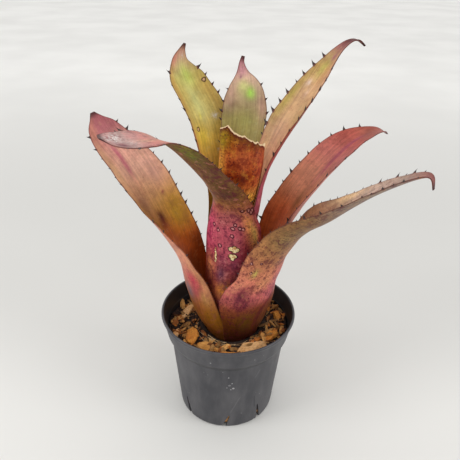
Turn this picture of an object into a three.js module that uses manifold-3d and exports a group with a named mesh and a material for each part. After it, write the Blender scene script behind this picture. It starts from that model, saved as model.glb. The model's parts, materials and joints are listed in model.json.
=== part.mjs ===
// A hohenbergia, a tank bromeliad with spined strap leaves, growing in a round nursery pot.
// Millimetres, +Z up, with the origin at the centre of the pot's underside.
// The photograph's viewer stands on the -Y side, and +X is to the right.

import * as THREE from 'three';
import { mergeVertices } from 'three/addons/utils/BufferGeometryUtils.js';
import Module from 'manifold-3d';

const wasm = await Module();
wasm.setup();

// Clearance
const SEAT_GAP = 0.3;              // gap kept between pieces that touch
const WALL_GAP = 0.45;             // the same against the pot's wall, measured at the corners of its facets
const CHIP_GAP = 0.42;             // the same round a chip, measured along its axes

// Pot
const POT_HEIGHT = 103.5;
const RIM_RADIUS = 60;             // outside of the lip
const WALL = 1.3;
const FLOOR = 1.8;
const FOOT_RADIUS = 44.4;          // where the wall meets the rounded bottom corner
const BODY_TOP = [51.5, 76.5];     // radius and height where the body ends under the collar
const COLLAR_FOOT = [55.7, 86];    // radius and height where the collar's straight band starts
const POT_SIDES = 40;
const SLIT_COUNT = 8;
const SLIT_WIDTH = 3.6;            // at the bottom
const SLIT_TOP_WIDTH = 1.2;
const SLIT_HEIGHT = 19;
const SLIT_LEAN = 18;              // degrees from upright, to the right as seen from outside
const FIRST_SLIT = -2;             // degrees round from the front

// Potting mix
const MIX_TOP = 85.5;              // mean height of the mix's surface
const MIX_SWELL = 1.3;             // how far it rises and falls
const MIX_SIDES = 32;
const HOLE_FLOOR = 65.6;           // bottom of the hole that the plant stands in

// Plant
const AXIS = [3.5, 3];             // the plant stands a little right of and behind the pot's axis
const PLANT_FOOT = 66;             // lowest point of the stem and the leaf sheaths
const LAYER = 1.7;                 // radial step from one sheath to the next one inside it
const THICK = 1.0;                 // leaf thickness along its middle
const MARGIN_THICK = 0.72;         // leaf thickness at its margins
const COLUMNS = 8;                 // strips across a leaf
const ROW_STEP = 9;                // spacing of the rows along a sheath
const TIP_ROWS = [0.35, 0.62, 0.82, 0.94, 1];    // rows between the last spine and the tip
const SPINE_ROOT = 3;              // width of a spine where it leaves the margin
const SPINE_LEAN = 0.6;            // how far a spine leans forward, as a share of its height

// Radius of the outermost layer at each height, before any leaf stands out of its layer.
const TANK = [
  [66, 20], [76, 23], [86, 26], [96, 28], [107, 28.6], [119, 28.2], [131, 27.6], [143, 27],
  [157, 26.6], [170, 26.4], [185, 25.6], [200, 23], [208, 22.3], [220, 23.4], [232, 26],
  [246, 28.4], [262, 29], [340, 29],
];

const radians = THREE.MathUtils.degToRad;

// Finishes
const finish = (colour, roughness) =>
  new THREE.MeshStandardMaterial({ color: colour, roughness, metalness: 0 });
const POT_PLASTIC = () => finish(0x26262a, 0.55);
const MIX_FINISH = () => finish(0x2b1d16, 0.95);
const STEM_FINISH = () => finish(0x6b5a34, 0.8);
const FIBRE_FINISH = () => finish(0xb59b74, 0.85);

// Small deterministic draw between 0 and 1, the same for the same seed.
function draws(seed) {
  let state = seed;
  return () => {
    state = (state * 16807) % 2147483647;
    return state / 2147483647;
  };
}

// Smooth value at x through points [x, y], with slopes taken from the neighbouring points.
function smooth(points, x) {
  const last = points.length - 1;
  if (x <= points[0][0]) return points[0][1];
  if (x >= points[last][0]) return points[last][1];
  const k = points.findIndex((p, i) => i < last && x < points[i + 1][0]);
  const slope = (i) => {
    const a = points[Math.max(i - 1, 0)];
    const b = points[Math.min(i + 1, last)];
    return (b[1] - a[1]) / (b[0] - a[0]);
  };
  const [x0, y0] = points[k];
  const [x1, y1] = points[k + 1];
  const width = x1 - x0;
  const t = (x - x0) / width;
  const start = y0 * (1 + 2 * t) * (1 - t) ** 2 + slope(k) * width * t * (1 - t) ** 2;
  const end = y1 * t * t * (3 - 2 * t) + slope(k + 1) * width * t * t * (t - 1);
  return start + end;
}

// Catmull-Rom value between rows of numbers at a fractional row index.
function between(rows, u) {
  const last = rows.length - 1;
  const k = Math.min(Math.floor(u), last - 1);
  const t = u - k;
  const [a, b, c, d] = [k - 1, k, k + 1, k + 2].map((i) => rows[THREE.MathUtils.clamp(i, 0, last)]);
  return b.map((_, n) => 0.5 * (2 * b[n] + (c[n] - a[n]) * t
    + (2 * a[n] - 5 * b[n] + 4 * c[n] - d[n]) * t * t
    + (3 * b[n] - a[n] - 3 * c[n] + d[n]) * t * t * t));
}

function solidFrom(geometry) {
  const bare = geometry.clone();
  for (const name of Object.keys(bare.attributes)) {
    if (name !== 'position') bare.deleteAttribute(name);
  }
  const merged = mergeVertices(bare, 1e-4);
  const mesh = new wasm.Mesh({
    numProp: 3,
    vertProperties: new Float32Array(merged.attributes.position.array),
    triVerts: new Uint32Array(merged.index.array),
  });
  mesh.merge();
  return new wasm.Manifold(mesh);
}

function geometryFrom(solid) {
  const { vertProperties, triVerts } = solid.getMesh();
  const geometry = new THREE.BufferGeometry();
  geometry.setAttribute('position', new THREE.BufferAttribute(vertProperties, 3));
  geometry.setIndex(new THREE.BufferAttribute(triVerts, 1));
  return geometry;
}

function geometryOf(positions, triangles) {
  const geometry = new THREE.BufferGeometry();
  geometry.setAttribute('position', new THREE.Float32BufferAttribute(positions, 3));
  geometry.setIndex(triangles);
  return geometry;
}

function named(name, geometry, material) {
  const flat = geometry.index ? geometry.toNonIndexed() : geometry;
  flat.computeVertexNormals();
  const mesh = new THREE.Mesh(flat, material);
  mesh.name = name;
  return mesh;
}

// LatheGeometry turns about +Y, so it is tipped up to turn about +Z.
function turned(profile, sides) {
  const points = profile.map(([r, z]) => new THREE.Vector2(r, z));
  return new THREE.LatheGeometry(points, sides).rotateX(Math.PI / 2);
}

// Leaves

// A leaf is listed from its foot to its tip, with angles in degrees.
// tight rows wrap round the plant's axis in the leaf's own layer: azimuth, height, half wrap.
// open rows stand free of it: azimuth, height, radius from the axis, facing, half width, cupping, roll.
// Cupping is how far the surface turns from its middle to one margin. The first few open rows,
// counted by level, are still cut level as the sheath is, and the others square to the leaf.
const LEAVES = [
  {
    name: 'leaf_front_right', layer: 0, colour: 0x8a5f4c, seed: 11,
    tight: [[-71, 66, 40], [-70, 76, 37], [-69, 86, 34]],
    level: 6,
    open: [
      [-73, 96, 29.6, -76, 16, 38, 0], [-75.5, 107, 33, -79, 17, 45, 0],
      [-73, 119, 35, -77, 21.8, 50, 0], [-63, 131, 38, -68, 29.4, 60, 0],
      [-56, 143, 39.2, -63, 29.1, 62, 0], [-48, 155, 43, -55, 27.7, 65, 0],
      [-42.5, 173, 48.2, -49, 27.6, 67, 0], [-38.5, 191, 57.4, -43.5, 27.5, 66, 0],
      [-37, 206, 69, -38, 26, 66, 0], [-36, 219, 84, -37, 24, 54, 0],
      [-36, 233.5, 98, -36, 19, 40, 0], [-36, 247, 112, -36, 15, 32, 0],
      [-36, 259, 127, -36, 11, 28, 0], [-36, 267, 139, -36, 6.4, 26, 0],
      [-36, 268, 144.5, -36, 3.2, 20, 0], [-36, 261, 147, -36, 1.2, 14, 0],
    ],
    spines: { from: 0.3, to: 0.95, count: 12, height: 3 },
  },
  {
    name: 'leaf_left', layer: 1, colour: 0xb9746a, seed: 23,
    tight: [[182, 66, 95], [183, 76, 92], [184, 86, 90]],
    level: 6,
    open: [
      [183, 96, 30, 184, 40, 86, 0], [182, 107, 35, 185, 40, 84, 0],
      [181, 119, 38.6, 185, 38.5, 84, 0], [180, 131, 41.8, 185, 36.5, 84, 0],
      [179, 143, 43.8, 183, 33.5, 81, 0], [178, 155, 46, 180, 30.5, 76, -4],
      [175, 168, 51.5, 174, 28, 68, -8], [171, 183, 60, 169, 26, 60, -14],
      [167, 199, 71, 164, 25, 52, -20], [163, 215, 83.5, 161, 24, 42, -24],
      [162, 231, 96.5, 161, 20.5, 32, -26], [162, 244, 109, 161, 16.5, 26, -28],
      [162, 256, 118, 161, 13.5, 20, -30], [162, 263, 122, 161, 8.5, 14, -30],
      [162, 266, 125.5, 161, 2, 10, -30],
    ],
    spines: { from: 0.42, to: 0.95, count: 13, height: 3.2 },
  },
  {
    name: 'leaf_right', layer: 1, colour: 0xb56a5c, seed: 37,
    tight: [[4, 66, 78], [4, 76, 77], [4, 86, 76]],
    level: 7,
    open: [
      [5, 96, 29, 5, 34.5, 75, 0], [6, 107, 32.5, 6, 34, 74, 0], [7, 119, 36, 7, 32.7, 72, 0],
      [8, 131, 37.2, 8, 31, 71, 0], [9, 143, 37.4, 9, 29.7, 70, 0], [10, 157, 38.2, 10, 28.8, 68, 0],
      [11, 172, 41, 11, 28, 65, 0],
      [13, 186, 46, 13, 27, 62, 0], [15, 199, 54, 15, 25.5, 58, 0], [17, 212, 64, 17, 24.5, 54, 0],
      [19, 224.5, 76, 19, 23.5, 48, 0], [20, 237, 89, 20, 22, 42, 0], [20, 248, 103, 20, 18, 36, 0],
      [20, 254, 117, 20, 12, 30, 0], [20, 256, 128, 20, 6.5, 22, 0], [20, 253, 135, 20, 1.4, 14, 0],
    ],
    spines: { from: 0.46, to: 0.94, count: 11, height: 3.2 },
  },
  {
    name: 'leaf_front', layer: 2, colour: 0x8d5a4f, seed: 41,
    tight: [
      [-100, 66, 96], [-100, 86, 94], [-98, 107, 92], [-97, 131, 90], [-96, 150, 88],
      [-95, 170, 85], [-95, 188, 80], [-102, 202, 71],
    ],
    level: 0,
    open: [
      [-107, 213, 23, -116, 20, 60, 0], [-111, 226, 32, -124, 20, 54, 0],
      [-115, 240.5, 43.5, -132, 20, 44, 0], [-119, 257, 57, -136, 20, 28, 2],
      [-122, 272.5, 71, -138, 19.5, 14, 4], [-125, 282, 84, -138, 17, 8, 4],
      [-127, 284.5, 96, -138, 15, 9, -2], [-129, 285.5, 107, -138, 13, 12, -7],
      [-131, 287.5, 115, -138, 8, 12, -9], [-132, 290, 120, -138, 1.6, 10, -9],
    ],
    spines: { from: 0.46, to: 0.95, count: 12, height: 3 },
  },
  {
    name: 'leaf_back_left', layer: 3, colour: 0x9a9148, seed: 67,
    tight: [
      [130, 66, 92], [130, 86, 91], [130, 107, 90], [130, 131, 86], [130, 157, 76], [130, 176, 62],
    ],
    level: 2,
    open: [
      [130, 191, 22.2, 130, 15.4, 42, 0], [126, 205, 26, 130, 13, 42, 0],
      [122, 218, 31, 128, 13.5, 42, 0], [119, 231, 36.2, 126, 15.5, 42, 0],
      [120.5, 244, 40.5, 126, 19.3, 46, 0], [122, 257, 45, 126, 20.5, 46, 0],
      [125, 270, 51, 127, 20.5, 42, 0], [129, 283, 59, 128, 19, 38, 0],
      [131, 295, 67, 128, 15.5, 34, 0], [131, 306, 72, 128, 9.5, 28, 0],
      [129, 314, 73, 128, 4.5, 22, 0], [127, 319, 71.5, 128, 1.3, 16, 0],
    ],
    spines: { from: 0.58, to: 0.93, count: 10, height: 3 },
  },
  {
    name: 'leaf_back', layer: 4, colour: 0x7f8350, seed: 53,
    tight: [
      [88, 66, 92], [88, 86, 91], [88, 107, 90], [88, 131, 86], [88, 157, 76], [90, 176, 64],
    ],
    level: 3,
    open: [
      [91, 190, 20.3, 91, 17, 50, 0], [90, 203, 23, 90, 14.5, 43, 0], [88, 214, 25.4, 88, 14.5, 44, 0],
      [86, 227, 29.8, 86, 16, 45, 0], [84, 240.5, 34.8, 84, 18, 46, 0], [82, 255, 40, 82, 19.5, 46, 0],
      [81, 268.5, 44.2, 81, 20, 43, 0], [82, 281, 47, 82, 17.5, 38, 0], [84, 291, 50.5, 84, 12, 32, 0],
      [86, 299, 53.5, 86, 5, 26, 0], [87, 306, 56, 87, 2, 20, 0], [86, 311, 58, 86, 1.1, 16, 0],
    ],
    spines: { from: 0.66, to: 0.92, count: 7, height: 3 },
  },
  {
    name: 'leaf_back_right', layer: 5, colour: 0xa9815a, seed: 71,
    tight: [
      [42, 66, 95], [42, 86, 94], [40, 107, 92], [38, 131, 90], [32, 157, 84], [22, 176, 76],
    ],
    level: 4,
    open: [
      [16, 190, 18.2, 14, 21, 71, 0], [14, 203, 20, 12, 17.8, 62, 0],
      [16, 214, 21.4, 13, 17.2, 56, 0], [18, 226, 23.5, 14, 17.4, 52, 0],
      [18, 240, 28, 14, 18, 50, 0], [20, 254, 35.5, 18, 19, 50, 0], [23, 268, 45, 24, 20, 50, 0],
      [25, 281, 55.5, 27, 18, 48, 0], [26, 294, 66, 29, 15.5, 46, 0], [27, 307, 77, 30, 11, 44, 0],
      [28, 318, 87, 30, 6, 40, 0], [28, 325, 97, 30, 3.6, 36, 0], [28, 326, 105, 30, 2.4, 30, 0],
      [27, 322, 111, 30, 1.1, 20, 0],
    ],
    spines: { from: 0.56, to: 0.9, count: 11, height: 3.2 },
  },
  {
    name: 'leaf_inner_torn', layer: 6, colour: 0x9a6a3c, seed: 83,
    tight: [
      [-80, 66, 95], [-80, 86, 95], [-80, 107, 95], [-80, 131, 95], [-80, 157, 94], [-80, 176, 92],
      [-78, 190, 90],
    ],
    level: 7,
    open: [
      [-74, 203, 15, -73, 21.6, 84, 0], [-66, 217, 17.2, -65, 25, 84, 0],
      [-61, 232, 20, -61, 26.4, 82, 0], [-60, 248, 22.3, -60, 26.5, 80, 0],
      [-60, 262, 23, -60, 26, 78, 0], [-60, 274, 23, -60, 25.6, 76, 0], [-60, 284, 23, -60, 25, 75, 0],
    ],
    torn: [0.955, 0.97, 0.945, 0.938, 0.92, 0.905, 0.89, 0.885, 0.87],
    spines: { from: 0.78, to: 0.86, count: 2, height: 2.4 },
  },
];

const layerRadius = (layer, height) => smooth(TANK, height) - layer * LAYER;

// One row of numbers per station, in this order.
const [AZIMUTH, HEIGHT, OUT, TURN, HALF, CUP, ROLL, TIGHT, FREE] = [0, 1, 2, 3, 4, 5, 6, 7, 8];

function stationsOf({ layer, tight, level, open }) {
  const wrapped = tight.map(([azimuth, height, wrap]) =>
    [azimuth, height, 0, 0, radians(wrap) * layerRadius(layer, height), wrap, 0, 1, 0]);
  const standing = open.map(([azimuth, height, radius, facing, half, cup, roll], k) =>
    [azimuth, height, radius - layerRadius(layer, height), facing - azimuth, half, cup, roll, 0,
      k < level ? 0 : 1]);
  return [...wrapped, ...standing];
}

// Point on the middle of the leaf, with the values of its section.
function middleAt(leaf, stations, u) {
  const row = between(stations, u);
  const nested = layerRadius(leaf.layer, row[HEIGHT]);
  const angle = radians(row[AZIMUTH]);
  const radius = nested + row[OUT];
  const cup = radians(row[CUP]);
  const ease = (value) => THREE.MathUtils.smoothstep(value, 0, 1);
  return {
    point: new THREE.Vector3(
      AXIS[0] + radius * Math.cos(angle), AXIS[1] + radius * Math.sin(angle), row[HEIGHT]),
    facing: angle + radians(row[TURN]),
    half: THREE.MathUtils.lerp(row[HALF], cup * nested, ease(row[TIGHT])),
    cup,
    roll: radians(row[ROLL]),
    free: ease(row[FREE]),
  };
}

// The section's own axes: across runs anticlockwise as seen from above, face to the upper side.
function sectionAt(leaf, stations, u) {
  const last = stations.length - 1;
  const step = 0.02;
  const middle = middleAt(leaf, stations, u);
  const before = middleAt(leaf, stations, Math.max(u - step, 0)).point;
  const after = middleAt(leaf, stations, Math.min(u + step, last)).point;
  const rise = after.clone().sub(before).normalize();
  const along = new THREE.Vector3(0, 0, 1).lerp(rise, middle.free).normalize();
  const across = new THREE.Vector3(-Math.sin(middle.facing), Math.cos(middle.facing), 0);
  across.addScaledVector(along, -across.dot(along)).normalize();
  across.applyAxisAngle(along, middle.roll);
  const face = along.clone().cross(across);
  return { ...middle, along, across, face, bend: middle.cup / middle.half };
}

// A point of the section, at share -1 to 1 from its clockwise margin to its anticlockwise one.
function acrossLeaf(section, share) {
  const turn = section.cup * share;
  const point = section.point.clone()
    .addScaledVector(section.across, Math.sin(turn) / section.bend)
    .addScaledVector(section.face, (1 - Math.cos(turn)) / section.bend);
  const normal = section.face.clone().multiplyScalar(Math.cos(turn))
    .addScaledVector(section.across, -Math.sin(turn));
  const outward = section.across.clone().multiplyScalar(Math.cos(turn))
    .addScaledVector(section.face, Math.sin(turn));
  return { point, normal, outward };
}

// The leaf's length, and the station index at a share of it.
function lengthScale(leaf, stations) {
  const count = 240;
  const last = stations.length - 1;
  const walk = [0];
  let previous = middleAt(leaf, stations, 0).point;
  for (let i = 1; i <= count; i++) {
    const next = middleAt(leaf, stations, (last * i) / count).point;
    walk.push(walk[i - 1] + next.distanceTo(previous));
    previous = next;
  }
  const indexAt = (share) => {
    const target = THREE.MathUtils.clamp(share, 0, 1) * walk[count];
    const i = Math.min(Math.max(walk.findIndex((w) => w >= target), 1), count);
    return (last * (i - 1 + (target - walk[i - 1]) / (walk[i] - walk[i - 1]))) / count;
  };
  return { indexAt, length: walk[count] };
}

// Two like grids of points, outer and inner, joined into one closed blade.
// Both faces are split along the same diagonals. A rim strip that has a spine runs out to its tip.
function bladeBetween(outer, inner, spineTips) {
  const rows = outer.length;
  const columns = outer[0].length;
  const points = [...outer, ...inner].flat();
  const at = (side, j, i) => (side * rows + j) * columns + i;
  const triangles = [];
  const quad = (a, b, c, d) => triangles.push(a, b, c, a, c, d);
  const rim = (a, b, c, d, tip) => {
    if (!tip) {
      quad(a, b, c, d);
      return;
    }
    const t = points.push(tip) - 1;
    triangles.push(a, b, t, b, c, t, c, d, t, d, a, t);
  };
  for (let j = 0; j < rows - 1; j++) {
    for (let i = 0; i < columns - 1; i++) {
      quad(at(0, j, i), at(0, j, i + 1), at(0, j + 1, i + 1), at(0, j + 1, i));
      triangles.push(at(1, j, i), at(1, j + 1, i + 1), at(1, j, i + 1));
      triangles.push(at(1, j, i), at(1, j + 1, i), at(1, j + 1, i + 1));
    }
    const e = columns - 1;
    const [right, left] = spineTips.get(j) || [];
    rim(at(0, j, 0), at(0, j + 1, 0), at(1, j + 1, 0), at(1, j, 0), right);
    rim(at(0, j + 1, e), at(0, j, e), at(1, j, e), at(1, j + 1, e), left);
  }
  for (let i = 0; i < columns - 1; i++) {
    quad(at(0, 0, i + 1), at(0, 0, i), at(1, 0, i), at(1, 0, i + 1));
    quad(at(0, rows - 1, i), at(0, rows - 1, i + 1), at(1, rows - 1, i + 1), at(1, rows - 1, i));
  }
  return geometryOf(points.flatMap((p) => [p.x, p.y, p.z]), triangles);
}

// Tip of a spine that leans forward from the margin and hooks a little towards the upper face.
function spineTip(section, side, length) {
  const { point, normal, outward } = acrossLeaf(section, side);
  return point.addScaledVector(outward, side * length)
    .addScaledVector(section.along, SPINE_LEAN * length).addScaledVector(normal, 0.08 * length);
}

// Shares of the leaf's length at which its rows lie: evenly spaced up to the first spine, then one
// row before and one after each spine, then crowded into the rounded tip.
function rowsAlong(leaf, length) {
  const { from, to, count, height } = leaf.spines;
  const draw = draws(leaf.seed);
  const shares = [];
  const spines = new Map();
  const plain = Math.round((from * length) / ROW_STEP);
  for (let k = 0; k < plain; k++) shares.push((from * k) / plain);
  const pitch = (to - from) / count;
  for (let k = 0; k < count; k++) {
    const middle = from + pitch * (k + 0.4 + 0.2 * draw());
    const reach = SPINE_ROOT / (2 * length);
    shares.push(middle - reach);
    spines.set(shares.length - 1, { middle, heights: [draw(), draw()].map((d) => height * (0.6 + 0.7 * d)) });
    shares.push(middle + reach);
  }
  const left = 1 - shares[shares.length - 1];
  for (const part of TIP_ROWS) shares.push(1 - left * (1 - part));
  return { shares, spines };
}

function leafGeometry(leaf) {
  const stations = stationsOf(leaf);
  const { indexAt, length } = lengthScale(leaf, stations);
  const { shares, spines } = rowsAlong(leaf, length);
  const outer = [];
  const inner = [];
  for (const share of shares) {
    const outerRow = [];
    const innerRow = [];
    for (let i = 0; i <= COLUMNS; i++) {
      const end = leaf.torn ? leaf.torn[i] : 1;
      const section = sectionAt(leaf, stations, indexAt(share * end));
      const sideways = (2 * i) / COLUMNS - 1;
      const { point, normal } = acrossLeaf(section, sideways);
      const half = THREE.MathUtils.lerp(THICK, MARGIN_THICK, sideways * sideways) / 2;
      outerRow.push(point.clone().addScaledVector(normal, -half));
      innerRow.push(point.clone().addScaledVector(normal, half));
    }
    outer.push(outerRow);
    inner.push(innerRow);
  }
  const tips = new Map();
  spines.forEach(({ middle, heights }, row) => {
    const ends = leaf.torn ? [leaf.torn[0], leaf.torn[COLUMNS]] : [1, 1];
    tips.set(row, heights.map((height, k) =>
      spineTip(sectionAt(leaf, stations, indexAt(middle * ends[k])), 2 * k - 1, height)));
  });
  return bladeBetween(outer, inner, tips);
}

const plant = new THREE.Group();
plant.name = 'plant';
for (const leaf of LEAVES) {
  plant.add(named(leaf.name, leafGeometry(leaf), finish(leaf.colour, 0.5)));
}

// Stem: the short stump that the innermost sheath clasps
const STEM_TOP = 92;
const insideLeaves = (height) => layerRadius(6, height) - THICK / 2 - SEAT_GAP;
const stemProfile = [
  [0, PLANT_FOOT], [insideLeaves(66) - 0.6, PLANT_FOOT], [insideLeaves(70) - 0.4, 70],
  [insideLeaves(77) - 0.4, 77], [insideLeaves(83) - 1.6, 83], [8.5, 88.5], [4.5, 91.2], [0, STEM_TOP],
];
const stem = named('stem', turned(stemProfile, 16), STEM_FINISH());
stem.position.set(AXIS[0], AXIS[1], 0);
plant.add(stem);

// Pot

// Straight wall radius at a height, from the foot to the top of the body.
const bodyRadius = (height) => FOOT_RADIUS + ((BODY_TOP[0] - FOOT_RADIUS) * height) / BODY_TOP[1];
const collarRadius = (height) => COLLAR_FOOT[0]
  + ((RIM_RADIUS - 1.6 - COLLAR_FOOT[0]) * (height - COLLAR_FOOT[1])) / (POT_HEIGHT - 4 - COLLAR_FOOT[1]);

function potProfile() {
  const outside = [
    [0, 0], [FOOT_RADIUS - 1.7, 0], [FOOT_RADIUS - 0.4, 0.5], [bodyRadius(2), 2], [bodyRadius(40), 40],
    BODY_TOP, [BODY_TOP[0] + 0.9, 79], [COLLAR_FOOT[0] - 1.6, 81.6], [COLLAR_FOOT[0] - 0.4, 83.8],
    COLLAR_FOOT, [collarRadius(POT_HEIGHT - 4), POT_HEIGHT - 4],
    [RIM_RADIUS - 0.5, POT_HEIGHT - 2.9], [RIM_RADIUS, POT_HEIGHT - 1.7],
    [RIM_RADIUS - 0.3, POT_HEIGHT - 0.6], [RIM_RADIUS - 1.1, POT_HEIGHT],
  ];
  const inside = [
    [RIM_RADIUS - 2.2, POT_HEIGHT - 0.5], [collarRadius(POT_HEIGHT - 5) - WALL, POT_HEIGHT - 5],
    [COLLAR_FOOT[0] - WALL, 86], [COLLAR_FOOT[0] - WALL - 0.7, 83.4], [BODY_TOP[0] - WALL + 0.4, 79.6],
    [BODY_TOP[0] - WALL, 76.5], [bodyRadius(40) - WALL, 40], [bodyRadius(4) - WALL, 4],
    [FOOT_RADIUS - WALL - 2, FLOOR], [0, FLOOR],
  ];
  return { outside, inside };
}

const { outside: potOutside, inside: potInside } = potProfile();

// A drain slit: a leaning slot through the wall's foot and into the floor's edge.
function slitTool() {
  const outline = new THREE.Shape();
  const half = SLIT_WIDTH / 2;
  outline.moveTo(-half, -2);
  outline.lineTo(half, -2);
  outline.lineTo(SLIT_TOP_WIDTH / 2, SLIT_HEIGHT);
  outline.lineTo(-SLIT_TOP_WIDTH / 2, SLIT_HEIGHT);
  outline.closePath();
  const depth = 9;
  const slit = new THREE.ExtrudeGeometry(outline, { depth, bevelEnabled: false });
  slit.rotateZ(radians(-SLIT_LEAN));
  slit.rotateX(Math.PI / 2);
  slit.translate(0, depth / 2, 0);
  return slit;
}

let potSolid = solidFrom(turned([...potOutside, ...potInside], POT_SIDES));
for (let k = 0; k < SLIT_COUNT; k++) {
  const slit = slitTool().translate(0, -FOOT_RADIUS, 0);
  slit.rotateZ(radians(FIRST_SLIT + (360 * k) / SLIT_COUNT));
  potSolid = potSolid.subtract(solidFrom(slit));
}
const pot = named('pot', geometryFrom(potSolid), POT_PLASTIC());

// Bark chips: x, y, turn, length, breadth, height, pitch, tilt, colour
const CHIPS = [
  [-39, 15, 60, 18, 11, 4.5, 4, -6, 0xc79a72],
  [-31.5, -19, 98, 26, 13, 6, -6, 8, 0xb9683a],
  [-46, -16, 78, 16, 6, 4.5, 0, 14, 0xc98f60],
  [-17, -34, -20, 18, 12, 5, 4, -4, 0x9c5a34],
  [3, -45, 5, 20, 11, 4.5, 3, 3, 0xc0743c],
  [22, -33, 28, 25, 16, 6, -6, -4, 0xd3a282],
  [39, -17, 75, 20, 11, 5.5, 6, 5, 0xc9692c],
  [46, 8, 100, 14, 9, 4, 0, -8, 0xb06a3e],
  [33, 30, 140, 21, 13, 5, 5, 4, 0x8f5434],
  [10, 43, 10, 22, 12, 5, -4, 4, 0xb87a4c],
  [-15, 40, -25, 17, 12, 5, 4, -5, 0x9a5f3a],
  [-48, 0, 82, 11, 7, 3.6, -5, 0, 0x7d4b33],
  [-28, -41, -40, 13, 8, 4, 0, 6, 0x8a5138],
  [-4, -36, 60, 10, 7, 3.6, 6, 0, 0x74442e],
  [49, -8, 95, 11, 6, 4, 0, 5, 0x93563a],
];

// A chip: an uneven slab with seven corners, chamfered all round.
function chipSolid([x, y, turn, length, breadth, height, pitch, tilt], index, grow) {
  const draw = draws(101 + 13 * index);
  const corners = [];
  for (let k = 0; k < 7; k++) {
    const angle = (2 * Math.PI * (k + 0.5 * draw())) / 7;
    const reach = 0.86 + 0.14 * draw();
    corners.push(new THREE.Vector2(
      reach * Math.cos(angle) * (length / 2), reach * Math.sin(angle) * (breadth / 2)));
  }
  const chamfer = 1;
  const slab = new THREE.ExtrudeGeometry(new THREE.Shape(corners), {
    depth: height - 2 * chamfer, bevelThickness: chamfer, bevelSize: chamfer * 0.8,
    bevelOffset: -chamfer * 0.8, bevelSegments: 1,
  });
  slab.translate(0, 0, -(height - 2 * chamfer) / 2);
  slab.scale(1 + (2 * grow) / length, 1 + (2 * grow) / breadth, 1 + (2 * grow) / height);
  slab.rotateX(radians(pitch)).rotateY(radians(tilt)).rotateZ(radians(turn));
  slab.translate(x, y, mixHeight(x, y) + height * 0.18);
  return slab;
}

// Height of the mix's surface: a gentle swell, the lowest at the left wall.
function mixHeight(x, y) {
  const swell = Math.sin(0.11 * x + 1.3) * Math.cos(0.13 * y - 0.4);
  return MIX_TOP + MIX_SWELL * swell + 0.02 * (x + 10);
}

// The hole follows the outermost leaf round its part of the foot and the next layer elsewhere.
function holeRadius(height, angle) {
  const [middle, , wrap] = LEAVES[0].tight[0];
  const away = Math.abs(Math.atan2(Math.sin(angle - radians(middle)), Math.cos(angle - radians(middle))));
  const outermost = 1 - THREE.MathUtils.smoothstep(away, radians(wrap + 8), radians(wrap + 28));
  return smooth(TANK, height) - LAYER * (1 - outermost) + THICK / 2 + SEAT_GAP;
}

function mixSolid() {
  const sides = MIX_SIDES;
  const rings = [
    [FOOT_RADIUS - WALL - 2.4, FLOOR + SEAT_GAP], [bodyRadius(4.4) - WALL - WALL_GAP, 4.6],
    [bodyRadius(40) - WALL - WALL_GAP, 40], [BODY_TOP[0] - WALL - WALL_GAP, 76.5],
    [BODY_TOP[0] - WALL - 0.1, 80.2], [COLLAR_FOOT[0] - WALL - 2.4, 82.4],
  ];
  const topRadii = [COLLAR_FOOT[0] - WALL - 1.6, 48, 42, 36, 31];
  const hole = [[87, 0, 1], [80, 80, 0.1], [73, 73, 0.1], [66, HOLE_FLOOR, 0.1]];
  const loops = [];
  // A loop without a height of its own lies on the mix's surface.
  const loopAt = (radiusAt, height, centred) => {
    const loop = [];
    for (let k = 0; k < sides; k++) {
      const angle = (2 * Math.PI * k) / sides;
      const x = radiusAt(angle) * Math.cos(angle) + AXIS[0] * centred;
      const y = radiusAt(angle) * Math.sin(angle) + AXIS[1] * centred;
      loop.push(new THREE.Vector3(x, y, height || mixHeight(x, y)));
    }
    loops.push(loop);
  };
  for (const [radius, height] of rings) loopAt(() => radius, height, 0);
  topRadii.forEach((radius, k) => loopAt(() => radius, 0, k / (topRadii.length - 1)));
  for (const [level, height, spare] of hole) loopAt((angle) => holeRadius(level, angle) + spare, height, 1);
  const positions = loops.flat().flatMap((p) => [p.x, p.y, p.z]);
  const triangles = [];
  for (let j = 0; j < loops.length - 1; j++) {
    for (let k = 0; k < sides; k++) {
      const next = (k + 1) % sides;
      const [a, b] = [j * sides + k, j * sides + next];
      const [c, d] = [(j + 1) * sides + next, (j + 1) * sides + k];
      triangles.push(a, b, c, a, c, d);
    }
  }
  const bottom = positions.length / 3;
  positions.push(0, 0, FLOOR + SEAT_GAP, AXIS[0], AXIS[1], HOLE_FLOOR);
  const end = (loops.length - 1) * sides;
  for (let k = 0; k < sides; k++) {
    const next = (k + 1) % sides;
    triangles.push(bottom, next, k);
    triangles.push(bottom + 1, end + k, end + next);
  }
  return solidFrom(geometryOf(positions, triangles));
}

let mix = mixSolid();
const chips = new THREE.Group();
chips.name = 'chips';
CHIPS.forEach((chip, index) => {
  const colour = chip[chip.length - 1];
  mix = mix.subtract(solidFrom(chipSolid(chip, index, CHIP_GAP)));
  chips.add(named(`bark_chip_${index + 1}`, chipSolid(chip, index, 0), finish(colour, 0.85)));
});

// Dry fibres left from old sheaths, lying round the foot of the plant, with angles in degrees
const FIBRES = [
  { from: -134, to: -98, radius: 30.4, thick: 1.0 },
  { from: -140, to: -84, radius: 32.9, thick: 0.9 },
];

function fibreGeometry({ from, to, radius, thick }) {
  const points = [];
  const steps = 8;
  for (let k = 0; k <= steps; k++) {
    const angle = radians(from + ((to - from) * k) / steps);
    const reach = radius + 0.4 * Math.sin(9 * angle);
    const x = AXIS[0] + reach * Math.cos(angle);
    const y = AXIS[1] + reach * Math.sin(angle);
    points.push(new THREE.Vector3(x, y, mixHeight(x, y) + thick / 2 + SEAT_GAP));
  }
  const section = new THREE.Shape();
  section.absarc(0, 0, thick / 2, 0, 2 * Math.PI);
  return new THREE.ExtrudeGeometry(section, {
    steps: 14, curveSegments: 3, extrudePath: new THREE.CatmullRomCurve3(points),
  });
}

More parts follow.
